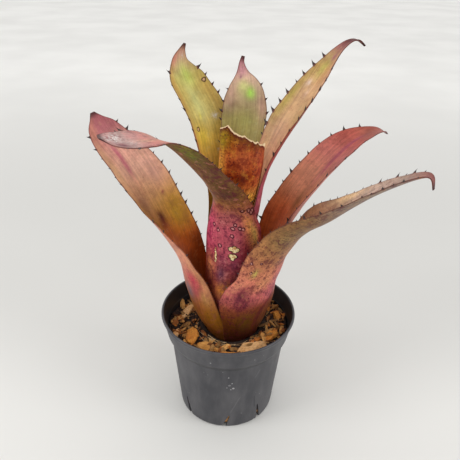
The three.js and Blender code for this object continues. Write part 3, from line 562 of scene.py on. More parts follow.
# tight: direction, height, half wrap. open: direction, height, distance, facing, half width, cupping,
# roll. level: how many open stations are still cut level. spines: first, last, count, height.
LEAVES = {
    "leaf_front_right": dict(layer=0, seed=11, level=6, tight=[
        (-71, 66, 40), (-70, 76, 37), (-69, 86, 34),
    ], open=[
        (-73, 96, 29.6, -76, 16, 38, 0), (-75.5, 107, 33, -79, 17, 45, 0),
        (-73, 119, 35, -77, 21.8, 50, 0), (-63, 131, 38, -68, 29.4, 60, 0),
        (-56, 143, 39.2, -63, 29.1, 62, 0), (-48, 155, 43, -55, 27.7, 65, 0),
        (-42.5, 173, 48.2, -49, 27.6, 67, 0), (-38.5, 191, 57.4, -43.5, 27.5, 66, 0),
        (-37, 206, 69, -38, 26, 66, 0), (-36, 219, 84, -37, 24, 54, 0),
        (-36, 233.5, 98, -36, 19, 40, 0), (-36, 247, 112, -36, 15, 32, 0),
        (-36, 259, 127, -36, 11, 28, 0), (-36, 267, 139, -36, 6.4, 26, 0),
        (-36, 268, 144.5, -36, 3.2, 20, 0), (-36, 261, 147, -36, 1.2, 14, 0),
    ], spines=(0.3, 0.95, 12, 3)),
    "leaf_left": dict(layer=1, seed=23, level=6, tight=[
        (182, 66, 95), (183, 76, 92), (184, 86, 90),
    ], open=[
        (183, 96, 30, 184, 40, 86, 0), (182, 107, 35, 185, 40, 84, 0),
        (181, 119, 38.6, 185, 38.5, 84, 0), (180, 131, 41.8, 185, 36.5, 84, 0),
        (179, 143, 43.8, 183, 33.5, 81, 0), (178, 155, 46, 180, 30.5, 76, -4),
        (175, 168, 51.5, 174, 28, 68, -8), (171, 183, 60, 169, 26, 60, -14),
        (167, 199, 71, 164, 25, 52, -20), (163, 215, 83.5, 161, 24, 42, -24),
        (162, 231, 96.5, 161, 20.5, 32, -26), (162, 244, 109, 161, 17.5, 26, -28),
        (162, 256, 118, 161, 12.5, 20, -30), (162, 263, 122, 161, 5.5, 14, -30),
        (162, 267.5, 124.5, 161, 1.6, 10, -30),
    ], spines=(0.42, 0.95, 13, 3.2)),
    "leaf_right": dict(layer=1, seed=37, level=7, tight=[
        (4, 66, 78), (4, 76, 77), (4, 86, 76),
    ], open=[
        (5, 96, 29, 5, 34.5, 75, 0), (6, 107, 32.5, 6, 34, 74, 0), (7, 119, 36, 7, 32.7, 72, 0),
        (8, 131, 37.2, 8, 31, 71, 0), (9, 143, 37.4, 9, 29.7, 70, 0),
        (10, 157, 38.2, 10, 28.8, 68, 0), (11, 172, 41, 11, 28, 65, 0),
        (13, 186, 46, 13, 27, 62, 0), (15, 199, 54, 15, 25.5, 58, 0),
        (17, 212, 64, 17, 24.5, 54, 0), (19, 224.5, 76, 19, 23.5, 48, 0),
        (20, 237, 89, 20, 22, 42, 0), (20, 248, 103, 20, 18, 36, 0), (20, 254, 117, 20, 12, 30, 0),
        (20, 256, 128, 20, 6.5, 22, 0), (20, 253, 135, 20, 1.4, 14, 0),
    ], spines=(0.46, 0.94, 11, 3.2)),
    "leaf_front": dict(layer=2, seed=41, level=0, tight=[
        (-100, 66, 96), (-100, 86, 94), (-98, 107, 92), (-97, 131, 90), (-96, 150, 88),
        (-95, 170, 85), (-95, 188, 80), (-102, 202, 71),
    ], open=[
        (-107, 213, 23, -116, 20, 60, 0), (-111, 226, 32, -124, 20, 54, 0),
        (-115, 240.5, 43.5, -132, 20, 44, 0), (-119, 257, 57, -136, 20, 28, 2),
        (-122, 272.5, 71, -138, 19.5, 14, 4), (-125, 282, 84, -138, 17, 8, 4),
        (-127, 284.5, 96, -138, 15, 9, -2), (-129, 285.5, 107, -138, 13, 12, -7),
        (-131, 287.5, 115, -138, 9.6, 12, -9), (-132, 290, 120, -138, 3.4, 10, -9),
    ], spines=(0.46, 0.95, 12, 3)),
    "leaf_back_left": dict(layer=3, seed=67, level=2, tight=[
        (130, 66, 92), (130, 86, 91), (130, 107, 90), (130, 131, 86), (130, 157, 76),
        (130, 176, 62),
    ], open=[
        (130, 191, 22.2, 130, 15.4, 42, 0), (126, 205, 26, 130, 13, 42, 0),
        (122, 218, 31, 128, 13.5, 42, 0), (119, 231, 36.2, 126, 15.5, 42, 0),
        (120.5, 244, 40.5, 126, 19.3, 46, 0), (122, 257, 45, 126, 20.5, 46, 0),
        (125, 270, 51, 127, 20.5, 42, 0), (129, 283, 59, 128, 19, 38, 0),
        (131, 295, 67, 128, 16.5, 34, 0), (131, 306, 72, 128, 8.6, 28, 0),
        (129, 314, 73, 128, 3.6, 22, 0), (127, 320, 71.5, 128, 1.0, 16, 0),
    ], spines=(0.58, 0.93, 10, 3.5)),
    "leaf_back": dict(layer=4, seed=53, level=3, tight=[
        (88, 66, 92), (88, 86, 91), (88, 107, 90), (88, 131, 86), (88, 157, 76), (90, 176, 64),
    ], open=[
        (91, 190, 20.3, 91, 17, 50, 0), (90, 203, 23, 90, 14.5, 43, 0),
        (88, 214, 25.4, 88, 14.5, 44, 0), (86, 227, 29.8, 86, 16, 45, 0),
        (84, 240.5, 34.8, 84, 18, 46, 0), (82, 255, 40, 82, 19.5, 46, 0),
        (81, 268.5, 44.2, 81, 20, 43, 0), (82, 281, 47, 82, 17.5, 38, 0),
        (84, 291, 50.5, 84, 12, 32, 0), (86, 299, 53.5, 86, 5, 26, 0), (87, 306, 56, 87, 2, 20, 0),
        (86, 311, 58, 86, 1.1, 16, 0),
    ], spines=(0.66, 0.92, 7, 3.3)),
    "leaf_back_right": dict(layer=5, seed=71, level=4, tight=[
        (42, 66, 95), (42, 86, 94), (40, 107, 92), (38, 131, 90), (32, 157, 84), (22, 176, 76),
    ], open=[
        (16, 190, 18.2, 14, 21, 71, 0), (14, 203, 20, 12, 17.8, 62, 0),
        (16, 214, 21.4, 13, 17.2, 56, 0), (18, 226, 23.5, 14, 17.4, 52, 0),
        (18, 240, 28, 14, 18, 50, 0), (20, 254, 35.5, 18, 19, 50, 0), (23, 268, 45, 24, 20, 50, 0),
        (25, 281, 55.5, 27, 18, 48, 0), (26, 294, 66, 29, 15.5, 46, 0),
        (27, 307, 77, 30, 11, 44, 0), (28, 318, 87, 30, 6, 40, 0), (28, 325, 97, 30, 3.6, 36, 0),
        (28, 326, 105, 30, 2.4, 30, 0), (27, 322, 111, 30, 1.1, 20, 0),
    ], spines=(0.56, 0.9, 11, 3.9)),
    "leaf_inner_torn": dict(layer=6, seed=83, level=7, tight=[
        (-80, 66, 95), (-80, 86, 95), (-80, 107, 95), (-80, 131, 95), (-80, 157, 94),
        (-80, 176, 92), (-78, 190, 90),
    ], open=[
        (-74, 203, 15, -73, 21.6, 84, 0), (-66, 217, 17.2, -65, 25, 84, 0),
        (-61, 232, 20, -61, 26.4, 82, 0), (-60, 248, 22.3, -60, 26.5, 80, 0),
        (-60, 262, 23, -60, 26, 78, 0), (-60, 274, 23, -60, 25.6, 76, 0),
        (-60, 284, 23, -60, 25, 75, 0),
    ], spines=(0.78, 0.86, 2, 2.4),
        torn=(0.955, 0.97, 0.945, 0.938, 0.92, 0.905, 0.89, 0.885, 0.87)),
}

# %% Lines of a leaf
def smooth(points, x):
    """Smooth value at x through (x, y) points, with slopes from the neighbouring points."""
    x = min(max(x, points[0][0]), points[-1][0])
    last = len(points) - 1
    k = next(i for i in range(last) if x <= points[i + 1][0])

    def slope(i):
        (x0, y0), (x1, y1) = points[max(i - 1, 0)], points[min(i + 1, last)]
        return (y1 - y0) / (x1 - x0)

    (x0, y0), (x1, y1) = points[k], points[k + 1]
    width = x1 - x0
    t = (x - x0) / width
    return (y0 * (1 + 2 * t) * (1 - t) ** 2 + slope(k) * width * t * (1 - t) ** 2
            + y1 * t * t * (3 - 2 * t) + slope(k + 1) * width * t * t * (t - 1))


def ease(x):
    x = np.clip(x, 0, 1)
    return x * x * (3 - 2 * x)


def unit(v):
    return v / np.linalg.norm(v)


def draws(seed):
    """The same small row of draws between 0 and 1 for the same seed."""
    while True:
        seed = seed * 16807 % 2147483647
        yield seed / 2147483647


class Leaf:
    def __init__(self, name, layer, seed, level, tight, open, spines, torn=None):
        self.name, self.layer, self.seed, self.spines, self.torn = name, layer, seed, spines, torn
        rows = [(azimuth, height, 0, 0, math.radians(wrap) * self.sheath(height), wrap, 0, 1, 0)
                for azimuth, height, wrap in tight]
        rows += [(azimuth, height, radius - self.sheath(height), facing - azimuth, half, cup, roll, 0,
                  float(k >= level)) for k, (azimuth, height, radius, facing, half, cup, roll)
                 in enumerate(open)]
        self.rows, self.last = np.array(rows, dtype=float), len(rows) - 1
        self.marks = np.linspace(0, self.last, 241)
        middles = np.array([self.middle(u)[0] for u in self.marks])
        self.walk = np.concatenate([[0], np.cumsum(np.linalg.norm(np.diff(middles, axis=0), axis=1))])
        self.length = self.walk[-1]

    def sheath(self, height):
        return smooth(FUNNEL, height) - self.layer * LAYER

    def between(self, u):
        """The values of the stations at a fractional station, on a smooth curve."""
        k = min(int(u), self.last - 1)
        t = u - k
        a, b, c, d = (self.rows[min(max(i, 0), self.last)] for i in (k - 1, k, k + 1, k + 2))
        return 0.5 * (2 * b + (c - a) * t + (2 * a - 5 * b + 4 * c - d) * t * t
                      + (3 * b - a - 3 * c + d) * t ** 3)

    def middle(self, u):
        """Point on the middle line, with facing, half width, cupping, roll and freedom."""
        azimuth, height, out, turn, half, cup, roll, tight, free = self.between(u)
        sheath = self.sheath(height)
        angle, cup = math.radians(azimuth), math.radians(cup)
        point = np.array([AXIS[0] + (sheath + out) * math.cos(angle),
                          AXIS[1] + (sheath + out) * math.sin(angle), height])
        half += (cup * sheath - half) * ease(tight)
        return point, angle + math.radians(turn), half, cup, math.radians(roll), ease(free)

    def at(self, share, sideways):
        """Points across the leaf at a share of its length: place, upper normal, outward, along,
        half width, freedom."""
        u = float(np.interp(np.clip(share, 0, 1) * self.length, self.walk, self.marks))
        point, facing, half, cup, roll, free = self.middle(u)
        rise = unit(self.middle(min(u + 0.02, self.last))[0] - self.middle(max(u - 0.02, 0))[0])
        along = unit(np.array([0, 0, 1.0]) * (1 - free) + rise * free)
        across = np.array([-math.sin(facing), math.cos(facing), 0])
        across = unit(across - along * across.dot(along))
        across = across * math.cos(roll) + np.cross(along, across) * math.sin(roll)
        face = np.cross(along, across)
        turn = np.multiply.outer(np.atleast_1d(sideways), cup)
        c, s = np.cos(turn)[:, None], np.sin(turn)[:, None]
        places = point + across * (s * half / cup) + face * ((1 - c) * half / cup)
        return places, face * c - across * s, across * c + face * s, along, half, free


plants_leaves = [Leaf(name, **values) for name, values in LEAVES.items()]
print("leaf lengths in mm:", {leaf.name: round(leaf.length) for leaf in plants_leaves})

# %% [markdown]
# The blade has two faces and a rounded margin. A single sheet with a Solidify modifier could do,
# but its margin would be square. So points are laid in rows right round the leaf, close enough for a
# smooth edge, and a free margin waves by less than a millimetre, as a stiff leaf's does. Each point
# also stores where it is on the leaf, in millimetres along and across and from the margin, so that
# streaks, veins and spots can follow the leaf when it is painted.

# %% Blade of a leaf
STRIPS, ROW = 32, 1.9       # strips across, and the spacing of the rows in mm
WAVE, FRAY = 0.32, 0.007    # how far a margin waves in mm, and a tear frays as a share of the leaf
DENSER = math.pi / 2 * 0.82     # the strips are narrower towards the margins
SIDEWAYS = np.sin(np.linspace(-1, 1, STRIPS + 1) * DENSER) / math.sin(DENSER)


def wave(leaf, share, sideways, free):
    """How far a free margin waves towards the upper side, in mm."""
    run = share * leaf.length
    swing = np.sin(run / 7.5 + leaf.seed + 1.3 * np.sin(run / 23)) + 0.5 * np.sin(run / 3.1 + leaf.seed)
    fade = ease(free) * ease((1 - share) / 0.12) * ease((share - 0.35) / 0.15)
    return WAVE * fade * np.abs(sideways) ** 4 * swing * np.sign(sideways + 1e-9)


def torn_end(leaf, sideways):
    """Where a torn leaf ends, as a share of its whole length, with small frayed steps."""
    if not leaf.torn:
        return 1.0
    fray = (noise.noise(Vector((sideways * 9, leaf.seed, 0)))
            + 0.6 * noise.noise(Vector((sideways * 31, 5, 0))))
    return float(np.interp(sideways, np.linspace(-1, 1, len(leaf.torn)), leaf.torn)) + FRAY * fray


def rows_of(leaf, share):
    """Both faces of one row: upper and lower points, and their places on the leaf."""
    ends = [torn_end(leaf, s) for s in SIDEWAYS]
    if leaf.torn:
        parts = [leaf.at(share * end, s) for end, s in zip(ends, SIDEWAYS)]
        places, normals, outward = (np.vstack([p[k] for p in parts]) for k in range(3))
        half, free = np.mean([p[4] for p in parts]), parts[0][5]
    else:
        places, normals, outward, _, half, free = leaf.at(share, SIDEWAYS)
    places = places + normals * wave(leaf, share, SIDEWAYS, free)[:, None]
    thick = (THICK + (MARGIN_THICK - THICK) * SIDEWAYS ** 2)[:, None] / 2
    rims = [places[k] + outward[k] * side * min(0.3, 0.3 * half) for k, side in ((0, -1), (-1, 1))]
    lower, upper = places - normals * thick, places + normals * thick
    # Round the section: lower face, right rim, upper face back again, left rim.
    loop = np.vstack([lower, rims[1][None], upper[::-1], rims[0][None]])
    across = np.concatenate([SIDEWAYS, [1], SIDEWAYS[::-1], [-1]])
    along = np.array([*ends, ends[-1], *ends[::-1], ends[0]]) * share
    side = np.concatenate([np.zeros(STRIPS + 1), [0.5], np.ones(STRIPS + 1), [0.5]])
    return loop, along, across, side, half


def blade(leaf):
    count = round(leaf.length / ROW)
    even = np.linspace(0, 1, count)
    # The rows lie a little closer together towards the tip, or towards the tear.
    shares = even ** 0.94 if leaf.torn else 1 - (1 - even) ** 1.18
    rows = [rows_of(leaf, share) for share in shares]
    around, n = len(rows[0][0]), STRIPS
    faces = ring_faces(len(rows), around)
    top = (len(rows) - 1) * around
    for i in range(n):
        cap = (i, i + 1, 2 * n + 1 - i, 2 * n + 2 - i)
        faces += [tuple(top + k for k in cap), cap[::-1]]
    for cap in ((n, n + 1, n + 2), (2 * n + 2, 2 * n + 3, 0)):
        faces += [tuple(top + k for k in cap), cap[::-1]]
    points, along, across, side = (np.concatenate([row[k] for row in rows]) for k in range(4))
    halves = np.repeat([row[4] for row in rows], around)
    return points, faces, along, across, side, halves


print("points round a leaf:", 2 * STRIPS + 4,
      "rows of the first leaf:", round(plants_leaves[0].length / ROW))

# %% [markdown]
# Dark hooked spines stand along both margins of each leaf, 8 to 12 mm apart and smaller towards the
# foot. Each could be a cone, but the real ones hook towards the tip, so one claw is made of rings
# that shrink and lean forward. It has only a few dozen faces, because it is repeated hundreds of
# times.

# %% One claw
CLAW_RINGS, CLAW_SIDES = 5, 6


def claw():
    """A hooked spine one unit tall: X is forward along the margin, Z away from the leaf."""
    points, reach = [], []
    for j in range(CLAW_RINGS):
        t = j / CLAW_RINGS
        slim = (1 - t) ** 1.25
        for k in range(CLAW_SIDES):
            a = 2 * math.pi * k / CLAW_SIDES
            points.append((0.6 * t ** 1.5 + 0.44 * slim * math.cos(a),
                           0.17 * slim * math.sin(a) + 0.05 * t, t * 1.02 - 0.12 * (1 - t)))
            reach.append(t)
    points.append((0.66, 0.08, 1.0))
    reach.append(1)
    faces = ring_faces(CLAW_RINGS, CLAW_SIDES)
    end = (CLAW_RINGS - 1) * CLAW_SIDES
    faces += [(end + k, end + (k + 1) % CLAW_SIDES, len(points) - 1) for k in range(CLAW_SIDES)]
    faces.append(tuple(range(CLAW_SIDES))[::-1])
    return bpy.data.objects.new("claw", mesh_from("claw", points, faces, reach=reach))


one_claw = claw()
bpy.context.scene.collection.objects.link(one_claw)
print("faces of one claw:", len(one_claw.data.polygons))

# %% [markdown]
# The claws could be copied one by one, but Geometry Nodes place them all at once: an instance of the
# claw on each point of the margin that wants one. Each point stores which way its claw leans and how
# tall it is. On the real plant the spines are horn: reddish where they grow out and black at the tip.

# %% Claws along a margin
clawed = Growth("clawed_margin", claw=bpy.types.Object)
shape = clawed.add("GeometryNodeObjectInfo", inputs={0: clawed["claw"]}, out="Geometry")
lean = clawed.add("FunctionNodeEulerToRotation", inputs={0: clawed.named("lean", "FLOAT_VECTOR")})
clawed.end(clawed.add("GeometryNodeInstanceOnPoints", inputs={
    0: clawed["Geometry"], "Instance": shape, "Rotation": lean, "Scale": clawed.named("tall")}))
print("nodes in the margin tree:", len(clawed.tree.nodes))

# %% Where the spines stand
LAST_SPINE = 0.985      # no spine stands beyond this share of a leaf
WIDE_PITCH = 11         # mm between spines from which a small one grows between two large ones


def spine_rows(leaf):
    """Share of the length, and the height on either margin, of every spine of a leaf."""
    start, end, count, height = leaf.spines
    draw = draws(leaf.seed)
    pitch = (end - start) / count
    rows = []
    for k in range(count):
        share = start + pitch * (k + 0.4 + 0.2 * next(draw))
        heights = [height * (0.6 + 0.7 * next(draw)) for _ in range(2)]
        rows.append((share, heights))
        if pitch * leaf.length > WIDE_PITCH:
            between = share + pitch * (0.42 + 0.16 * next(draw))
            rows.append((between, [0.55 * h for h in heights[::-1]]))
    below, size = start, 0.55 * height
    while below - 8 / leaf.length > max(0.2, start - 0.2) and not leaf.torn:
        below -= (7 + 3 * next(draw)) / leaf.length
        size *= 0.9
        rows.append((below, [size * (0.7 + 0.6 * next(draw)) for _ in range(2)]))
    return [row for row in rows if row[0] < LAST_SPINE]


def spine_points(leaf):
    places, leans, talls = [], [], []
    for share, heights in spine_rows(leaf):
        for side, tall in zip((-1, 1), heights):
            end = torn_end(leaf, side)
            at, normal, outward, along, _, free = leaf.at(share * end, side)
            at = at[0] + normal[0] * wave(leaf, share, np.array([float(side)]), free)[0]
            away = unit(outward[0] * side + normal[0] * 0.08)
            forward = unit(along - away * along.dot(away))
            frame_of = Matrix((forward, np.cross(away, forward), away)).transposed()
            places.append(at)
            leans.append(frame_of.to_euler())
            talls.append(tall)
    mesh = mesh_from(leaf.name + "_spine_places", places, [], tall=talls)
    layer = mesh.attributes.new("lean", "FLOAT_VECTOR", "POINT")
    layer.data.foreach_set("vector", np.array(leans, dtype=np.float32).ravel())
    return mesh


spine_horn = Finish("spine_horn", Roughness=0.42)
reach = spine_horn.stored("reach")
spine_horn.set(Base_Color=spine_horn.mix(
    reach.step(0.0, 0.4), paint(0x6A3022),
    spine_horn.mix(spine_horn.noise(300), paint(0x2C1310), paint(0x0E0706))))
print("spines on each leaf:", {leaf.name: 2 * len(spine_rows(leaf)) for leaf in plants_leaves})

# %% [markdown]
# Strong light colours such a leaf: olive and brown in the funnel, then ochre or lime, and pink and
# wine red towards the tip and on the back. Noise alone could not put these colours where they are on
# this plant. So the wide changes are laid on as a painter would, a run of paints from foot to tip
# for each face, then soft dabs on top, and they are stored on the points. A dab has its place and
# its reach as shares of the leaf, along and across, then its paint and its strength.

# %% Paints of the leaves
# Most dabs are the leaves' own colours, but a few small pale ones are painted highlights where light
# catches a leaf.
LEAF_COLOURS = {
    "leaf_left": dict(
        upper=[(0, 0x6A2C10), (0.36, 0xB4521C), (0.45, 0xD06A2C), (0.52, 0xCC8838), (0.6, 0xC89450),
               (0.68, 0xC8946C), (0.76, 0xD8A48C), (0.86, 0xCE9484), (0.93, 0xB0686C), (1, 0xA0545A)],
        lower=[(0, 0x54300E), (0.12, 0x6C3C10), (0.21, 0x8C541E), (0.26, 0x9C5C30), (0.31, 0xA86048),
               (0.36, 0xB86450), (0.44, 0xCE8468), (0.58, 0xBC7860), (0.75, 0xA87864), (1, 0xB07A6C)],
        upper_dabs=[
            (0.84, 0.14, 0.05, 0.09, 0xA44862, 0.9), (0.78, 0.2, 0.045, 0.09, 0xAC5066, 0.9),
            (0.78, 0.85, 0.14, 0.25, 0xC89A70, 0.85), (0.57, -0.7, 0.08, 0.35, 0xC89430, 0.85),
            (0.545, -0.55, 0.04, 0.2, 0xBA982E, 0.5), (0.63, 0.45, 0.06, 0.35, 0x9C6C58, 0.75),
            (0.56, 0.6, 0.06, 0.3, 0x8A5A34, 0.75), (0.558, 0.02, 0.03, 0.15, 0x4A0E14, 0.98),
            (0.53, 0.1, 0.025, 0.22, 0x70200E, 0.8), (0.49, 0.1, 0.035, 0.35, 0x98380E, 0.7),
            (0.642, -0.5, 0.007, 0.045, 0x8A2434, 0.95), (0.66, -0.42, 0.005, 0.035, 0x8A4A30, 0.7),
            (0.72, -0.6, 0.06, 0.35, 0xCF9A90, 0.5), (0.93, 0.7, 0.05, 0.3, 0xC08068, 0.6),
            (0.42, -0.9, 0.03, 0.2, 0x54200E, 0.6)],
        lower_dabs=[
            (0.345, 0.7, 0.035, 0.2, 0xB43048, 0.95), (0.3, 0.62, 0.03, 0.14, 0xA03A48, 0.8),
            (0.29, 0.36, 0.035, 0.14, 0x5E5864, 0.85), (0.36, 0.93, 0.06, 0.13, 0xC49460, 0.75),
            (0.28, 0.8, 0.03, 0.12, 0xB08A4C, 0.6), (0.2, 0.85, 0.05, 0.3, 0x8C5C14, 0.6),
            (0.22, 0.5, 0.03, 0.12, 0x7C3A28, 0.5), (0.45, 0.8, 0.03, 0.2, 0xC88C74, 0.5)]),
    "leaf_front": dict(
        upper=[(0, 0x5A2C14), (0.6, 0x8A5A3C), (0.8, 0xB07050), (0.86, 0xC47C66), (0.9, 0xC47C72),
               (0.94, 0xB89890), (1, 0xC08C88)],
        lower=[(0, 0x3C2414), (0.18, 0x6E3424), (0.24, 0x8A4228), (0.28, 0x883C30), (0.33, 0x8E363C),
               (0.38, 0xA4404E),
               (0.45, 0xB04C58), (0.5, 0xA0524C), (0.54, 0xA0643C), (0.58, 0x80582C), (0.64, 0x6D5028),
               (0.7, 0x704E2E), (0.76, 0x6A4C20), (0.82, 0x5C4C14), (0.86, 0x6B5018), (0.9, 0x9C6448),
               (1, 0xA05A58)],
        upper_dabs=[
            (0.954, 0.6, 0.014, 0.35, 0x6A2836, 0.9), (0.917, -0.5, 0.03, 0.4, 0xCF9A94, 0.5),
            (0.9, 0.2, 0.02, 0.2, 0xD8B490, 0.5), (0.975, -0.2, 0.01, 0.25, 0x7A3440, 0.6)],
        lower_dabs=[
            (0.44, -0.75, 0.06, 0.25, 0xC0446A, 0.75), (0.37, -0.85, 0.05, 0.2, 0xB84464, 0.6),
            (0.445, 0.58, 0.06, 0.2, 0xF0A058, 0.95), (0.43, 0.66, 0.03, 0.1, 0xF0D070, 0.8),
            (0.325, -0.62, 0.035, 0.2, 0xD48858, 0.85), (0.255, -0.15, 0.02, 0.16, 0xC07828, 0.8),
            (0.308, -0.23, 0.028, 0.11, 0x52283F, 0.95),
            (0.3, 0.22, 0.02, 0.1, 0x5C2C3C, 0.7), (0.38, 0.38, 0.05, 0.12, 0x8A2430, 0.75),
            (0.36, -0.2, 0.02, 0.12, 0x6C2444, 0.5), (0.4, 0.05, 0.02, 0.15, 0xC06468, 0.6),
            (0.345, 0.1, 0.02, 0.12, 0x6C2444, 0.6),
            (0.56, -0.3, 0.02, 0.4, 0x8A6C3C, 0.45), (0.6, 0.3, 0.03, 0.4, 0x4A2C2C, 0.75),
            (0.8, 0.45, 0.03, 0.25, 0x6C7C0C, 0.8), (0.83, 0.9, 0.03, 0.2, 0x88881C, 0.75),
            (0.68, -0.4, 0.08, 0.3, 0x7C5444, 0.6), (0.88, -0.2, 0.02, 0.6, 0x7A5A34, 0.5)],
        bloom=[(0.963, -0.3, 0.013, 0.5, 1.0), (0.985, 0.0, 0.008, 0.4, 0.7),
               (0.93, 0.3, 0.01, 0.3, 0.4)]),
    "leaf_right": dict(
        upper=[(0, 0x6A2C10), (0.4, 0xB04E20), (0.48, 0xCC6836), (0.56, 0xCC7444), (0.62, 0xD08860),
               (0.7, 0xDC9478), (0.78, 0xD88478), (0.86, 0xC46458), (0.93, 0xB05A4A), (1, 0x8C4A40)],
        lower=[(0, 0x4C3014), (0.2, 0x6E3C24), (0.35, 0x9C5040), (0.5, 0xB06858), (0.7, 0xB87064),
               (0.9, 0xA86C68), (1, 0x98605C)],
        upper_dabs=[
            (0.585, 0.08, 0.05, 0.13, 0x6A4410, 0.85), (0.77, -0.02, 0.09, 0.1, 0xB0486C, 0.8),
            (0.87, 0.02, 0.05, 0.09, 0xA65070, 0.6), (0.93, 0.1, 0.04, 0.5, 0x9C5C4C, 0.5),
            (0.66, 0.5, 0.07, 0.4, 0xE09A7C, 0.7), (0.75, -0.6, 0.1, 0.3, 0xB87078, 0.6),
            (0.52, 0.35, 0.05, 0.4, 0xB84C24, 0.55), (0.5, -0.4, 0.03, 0.25, 0x6A2010, 0.7),
            (0.57, -0.75, 0.05, 0.25, 0xA85A50, 0.6)],
        lower_dabs=[(0.6, 0.4, 0.1, 0.3, 0xC07C68, 0.5), (0.4, -0.4, 0.08, 0.3, 0x8C4A3C, 0.5)]),
    "leaf_back_left": dict(
        upper=[(0, 0x4A3010), (0.4, 0x9A6A28), (0.55, 0xD09A38), (0.63, 0xDCA848), (0.7, 0xE0B850),
               (0.78, 0xC5B468), (0.85, 0xC2AE60), (0.9, 0xBDB366), (0.94, 0xC0A878), (0.97, 0xC09880),
               (1, 0xB07064)],
        lower=[(0, 0x50381C), (0.3, 0x8C6030), (0.6, 0xA8763C), (0.8, 0xAC8650), (0.93, 0xB08464),
               (1, 0xA87464)],
        upper_dabs=[
            (0.9, -0.15, 0.035, 0.3, 0xB0BE58, 0.85), (0.82, 0.05, 0.06, 0.25, 0xC9CA80, 0.75),
            (0.8, -0.8, 0.12, 0.28, 0xB8944A, 0.85), (0.86, 0.85, 0.1, 0.22, 0xB88C48, 0.85),
            (0.95, 0.8, 0.02, 0.4, 0xC87E74, 0.85), (0.97, 0.2, 0.02, 0.4, 0xC49484, 0.5),
            # The small pale yellow dab at 0.771 along is a painted glint of light.
            (0.7, 0.98, 0.05, 0.1, 0xBC6458, 0.85), (0.771, 0.15, 0.011, 0.045, 0xE8DC60, 0.9),
            (0.71, 0.35, 0.03, 0.3, 0xE4CC48, 0.6), (0.63, 0.2, 0.03, 0.3, 0xD09A48, 0.5),
            (0.84, -0.2, 0.01, 0.05, 0x8C8448, 0.5), (0.88, 0.3, 0.01, 0.05, 0x948C4C, 0.5)],
        lower_dabs=[(0.7, 0.9, 0.1, 0.2, 0xB06A54, 0.6), (0.8, -0.8, 0.1, 0.2, 0xA8684C, 0.5)],
        bloom=[(0.758, -0.45, 0.008, 0.13, 0.9), (0.66, -0.3, 0.006, 0.06, 0.7),
               (0.96, -0.3, 0.01, 0.15, 0.5)]),
    "leaf_back": dict(
        upper=[(0, 0x4A3818), (0.5, 0x8A7838), (0.7, 0xA08E50), (0.8, 0x9F9256), (0.85, 0xB09A74),
               (0.88, 0xB8A07C), (0.93, 0xD4B098), (0.96, 0xC48A8E), (1, 0x7E464E)],
        lower=[(0, 0x4C3A1C), (0.4, 0x7C6A38), (0.8, 0x8C7C50), (0.92, 0xA07C68), (1, 0x8C5458)],
        upper_dabs=[
            (0.883, -0.28, 0.018, 0.25, 0xA8E050, 0.95), (0.905, 0.08, 0.022, 0.38, 0xC2C879, 0.75),
            (0.846, 0.55, 0.012, 0.3, 0x887450, 0.75), (0.88, 0.75, 0.04, 0.28, 0xCCA090, 0.7),
            (0.84, -0.8, 0.05, 0.28, 0xB88C80, 0.7), (0.936, 0.25, 0.006, 0.14, 0x84486C, 0.9),
            (0.8, 0, 0.035, 0.45, 0x9A9654, 0.6), (0.95, 0, 0.015, 0.5, 0xB87C8C, 0.5)],
        lower_dabs=[(0.7, 0.8, 0.15, 0.25, 0x946456, 0.5), (0.6, -0.8, 0.15, 0.25, 0x8C5C4C, 0.5)]),
    "leaf_back_right": dict(
        upper=[(0, 0x4C2C14), (0.45, 0x9C6038), (0.6, 0xC48E70), (0.66, 0xC49476), (0.7, 0xBF9A6C),
               (0.76, 0xC49C74), (0.8, 0xC8A078), (0.86, 0xBD9660), (0.89, 0xB09064), (0.92, 0x96625C),
               (0.95, 0x623438), (1, 0x361A1A)],
        lower=[(0, 0x5C2C1C), (0.3, 0x8C4440), (0.45, 0xB05468), (0.54, 0xB8586A), (0.6, 0xA84C48),
               (0.66, 0x9A483E), (0.75, 0x965040), (0.85, 0x9C6450), (0.93, 0x84504A), (1, 0x48241F)],
        upper_dabs=[
            (0.858, 0.3, 0.03, 0.3, 0xB8B25C, 0.75), (0.76, 0.85, 0.08, 0.2, 0xB4A44C, 0.75),
            (0.86, -0.7, 0.05, 0.28, 0xCF9080, 0.75), (0.892, -0.05, 0.011, 0.3, 0x96506C, 0.7),
            (0.808, 0.5, 0.01, 0.12, 0xDCC0B0, 0.6), (0.78, 0.2, 0.012, 0.1, 0xD8B8A4, 0.5),
            (0.69, 0.3, 0.04, 0.4, 0xC89C80, 0.5), (0.83, -0.1, 0.03, 0.2, 0xB87C54, 0.5),
            (0.63, 0.7, 0.04, 0.2, 0xC8A468, 0.5)],
        lower_dabs=[(0.5, 0.5, 0.1, 0.3, 0xA85A54, 0.5), (0.75, 0.3, 0.08, 0.3, 0xA86C4C, 0.5)],
        bloom=[(0.808, 0.45, 0.006, 0.08, 0.5)]),
    "leaf_front_right": dict(
        upper=[(0, 0x3C1C0C), (0.4, 0x7C4C2C), (0.6, 0x94684C), (0.7, 0xB08C70), (0.8, 0xB89C8C),
               (0.9, 0xA88C7C), (0.96, 0x905C54), (1, 0x641F20)],
        lower=[(0, 0x30120A), (0.1, 0x401C0A), (0.18, 0x60300E), (0.24, 0x84402A), (0.3, 0xB85858),
               (0.37, 0xC8745C), (0.44, 0xAC7048), (0.5, 0x98683E), (0.58, 0x88603A), (0.66, 0x8A6640),
               (0.74, 0x876C5A), (0.84, 0x8E7866), (0.92, 0x967C70), (0.97, 0x84504A), (1, 0x5C1E1E)],
        upper_dabs=[
            # The cream dab at 0.72 along is a painted highlight where light catches the upper margin.
            (0.72, 0.88, 0.05, 0.14, 0xE0BE90, 0.85), (0.8, 0.8, 0.05, 0.14, 0xCDB09A, 0.6),
            (0.85, -0.6, 0.05, 0.3, 0xC0A8A2, 0.5)],
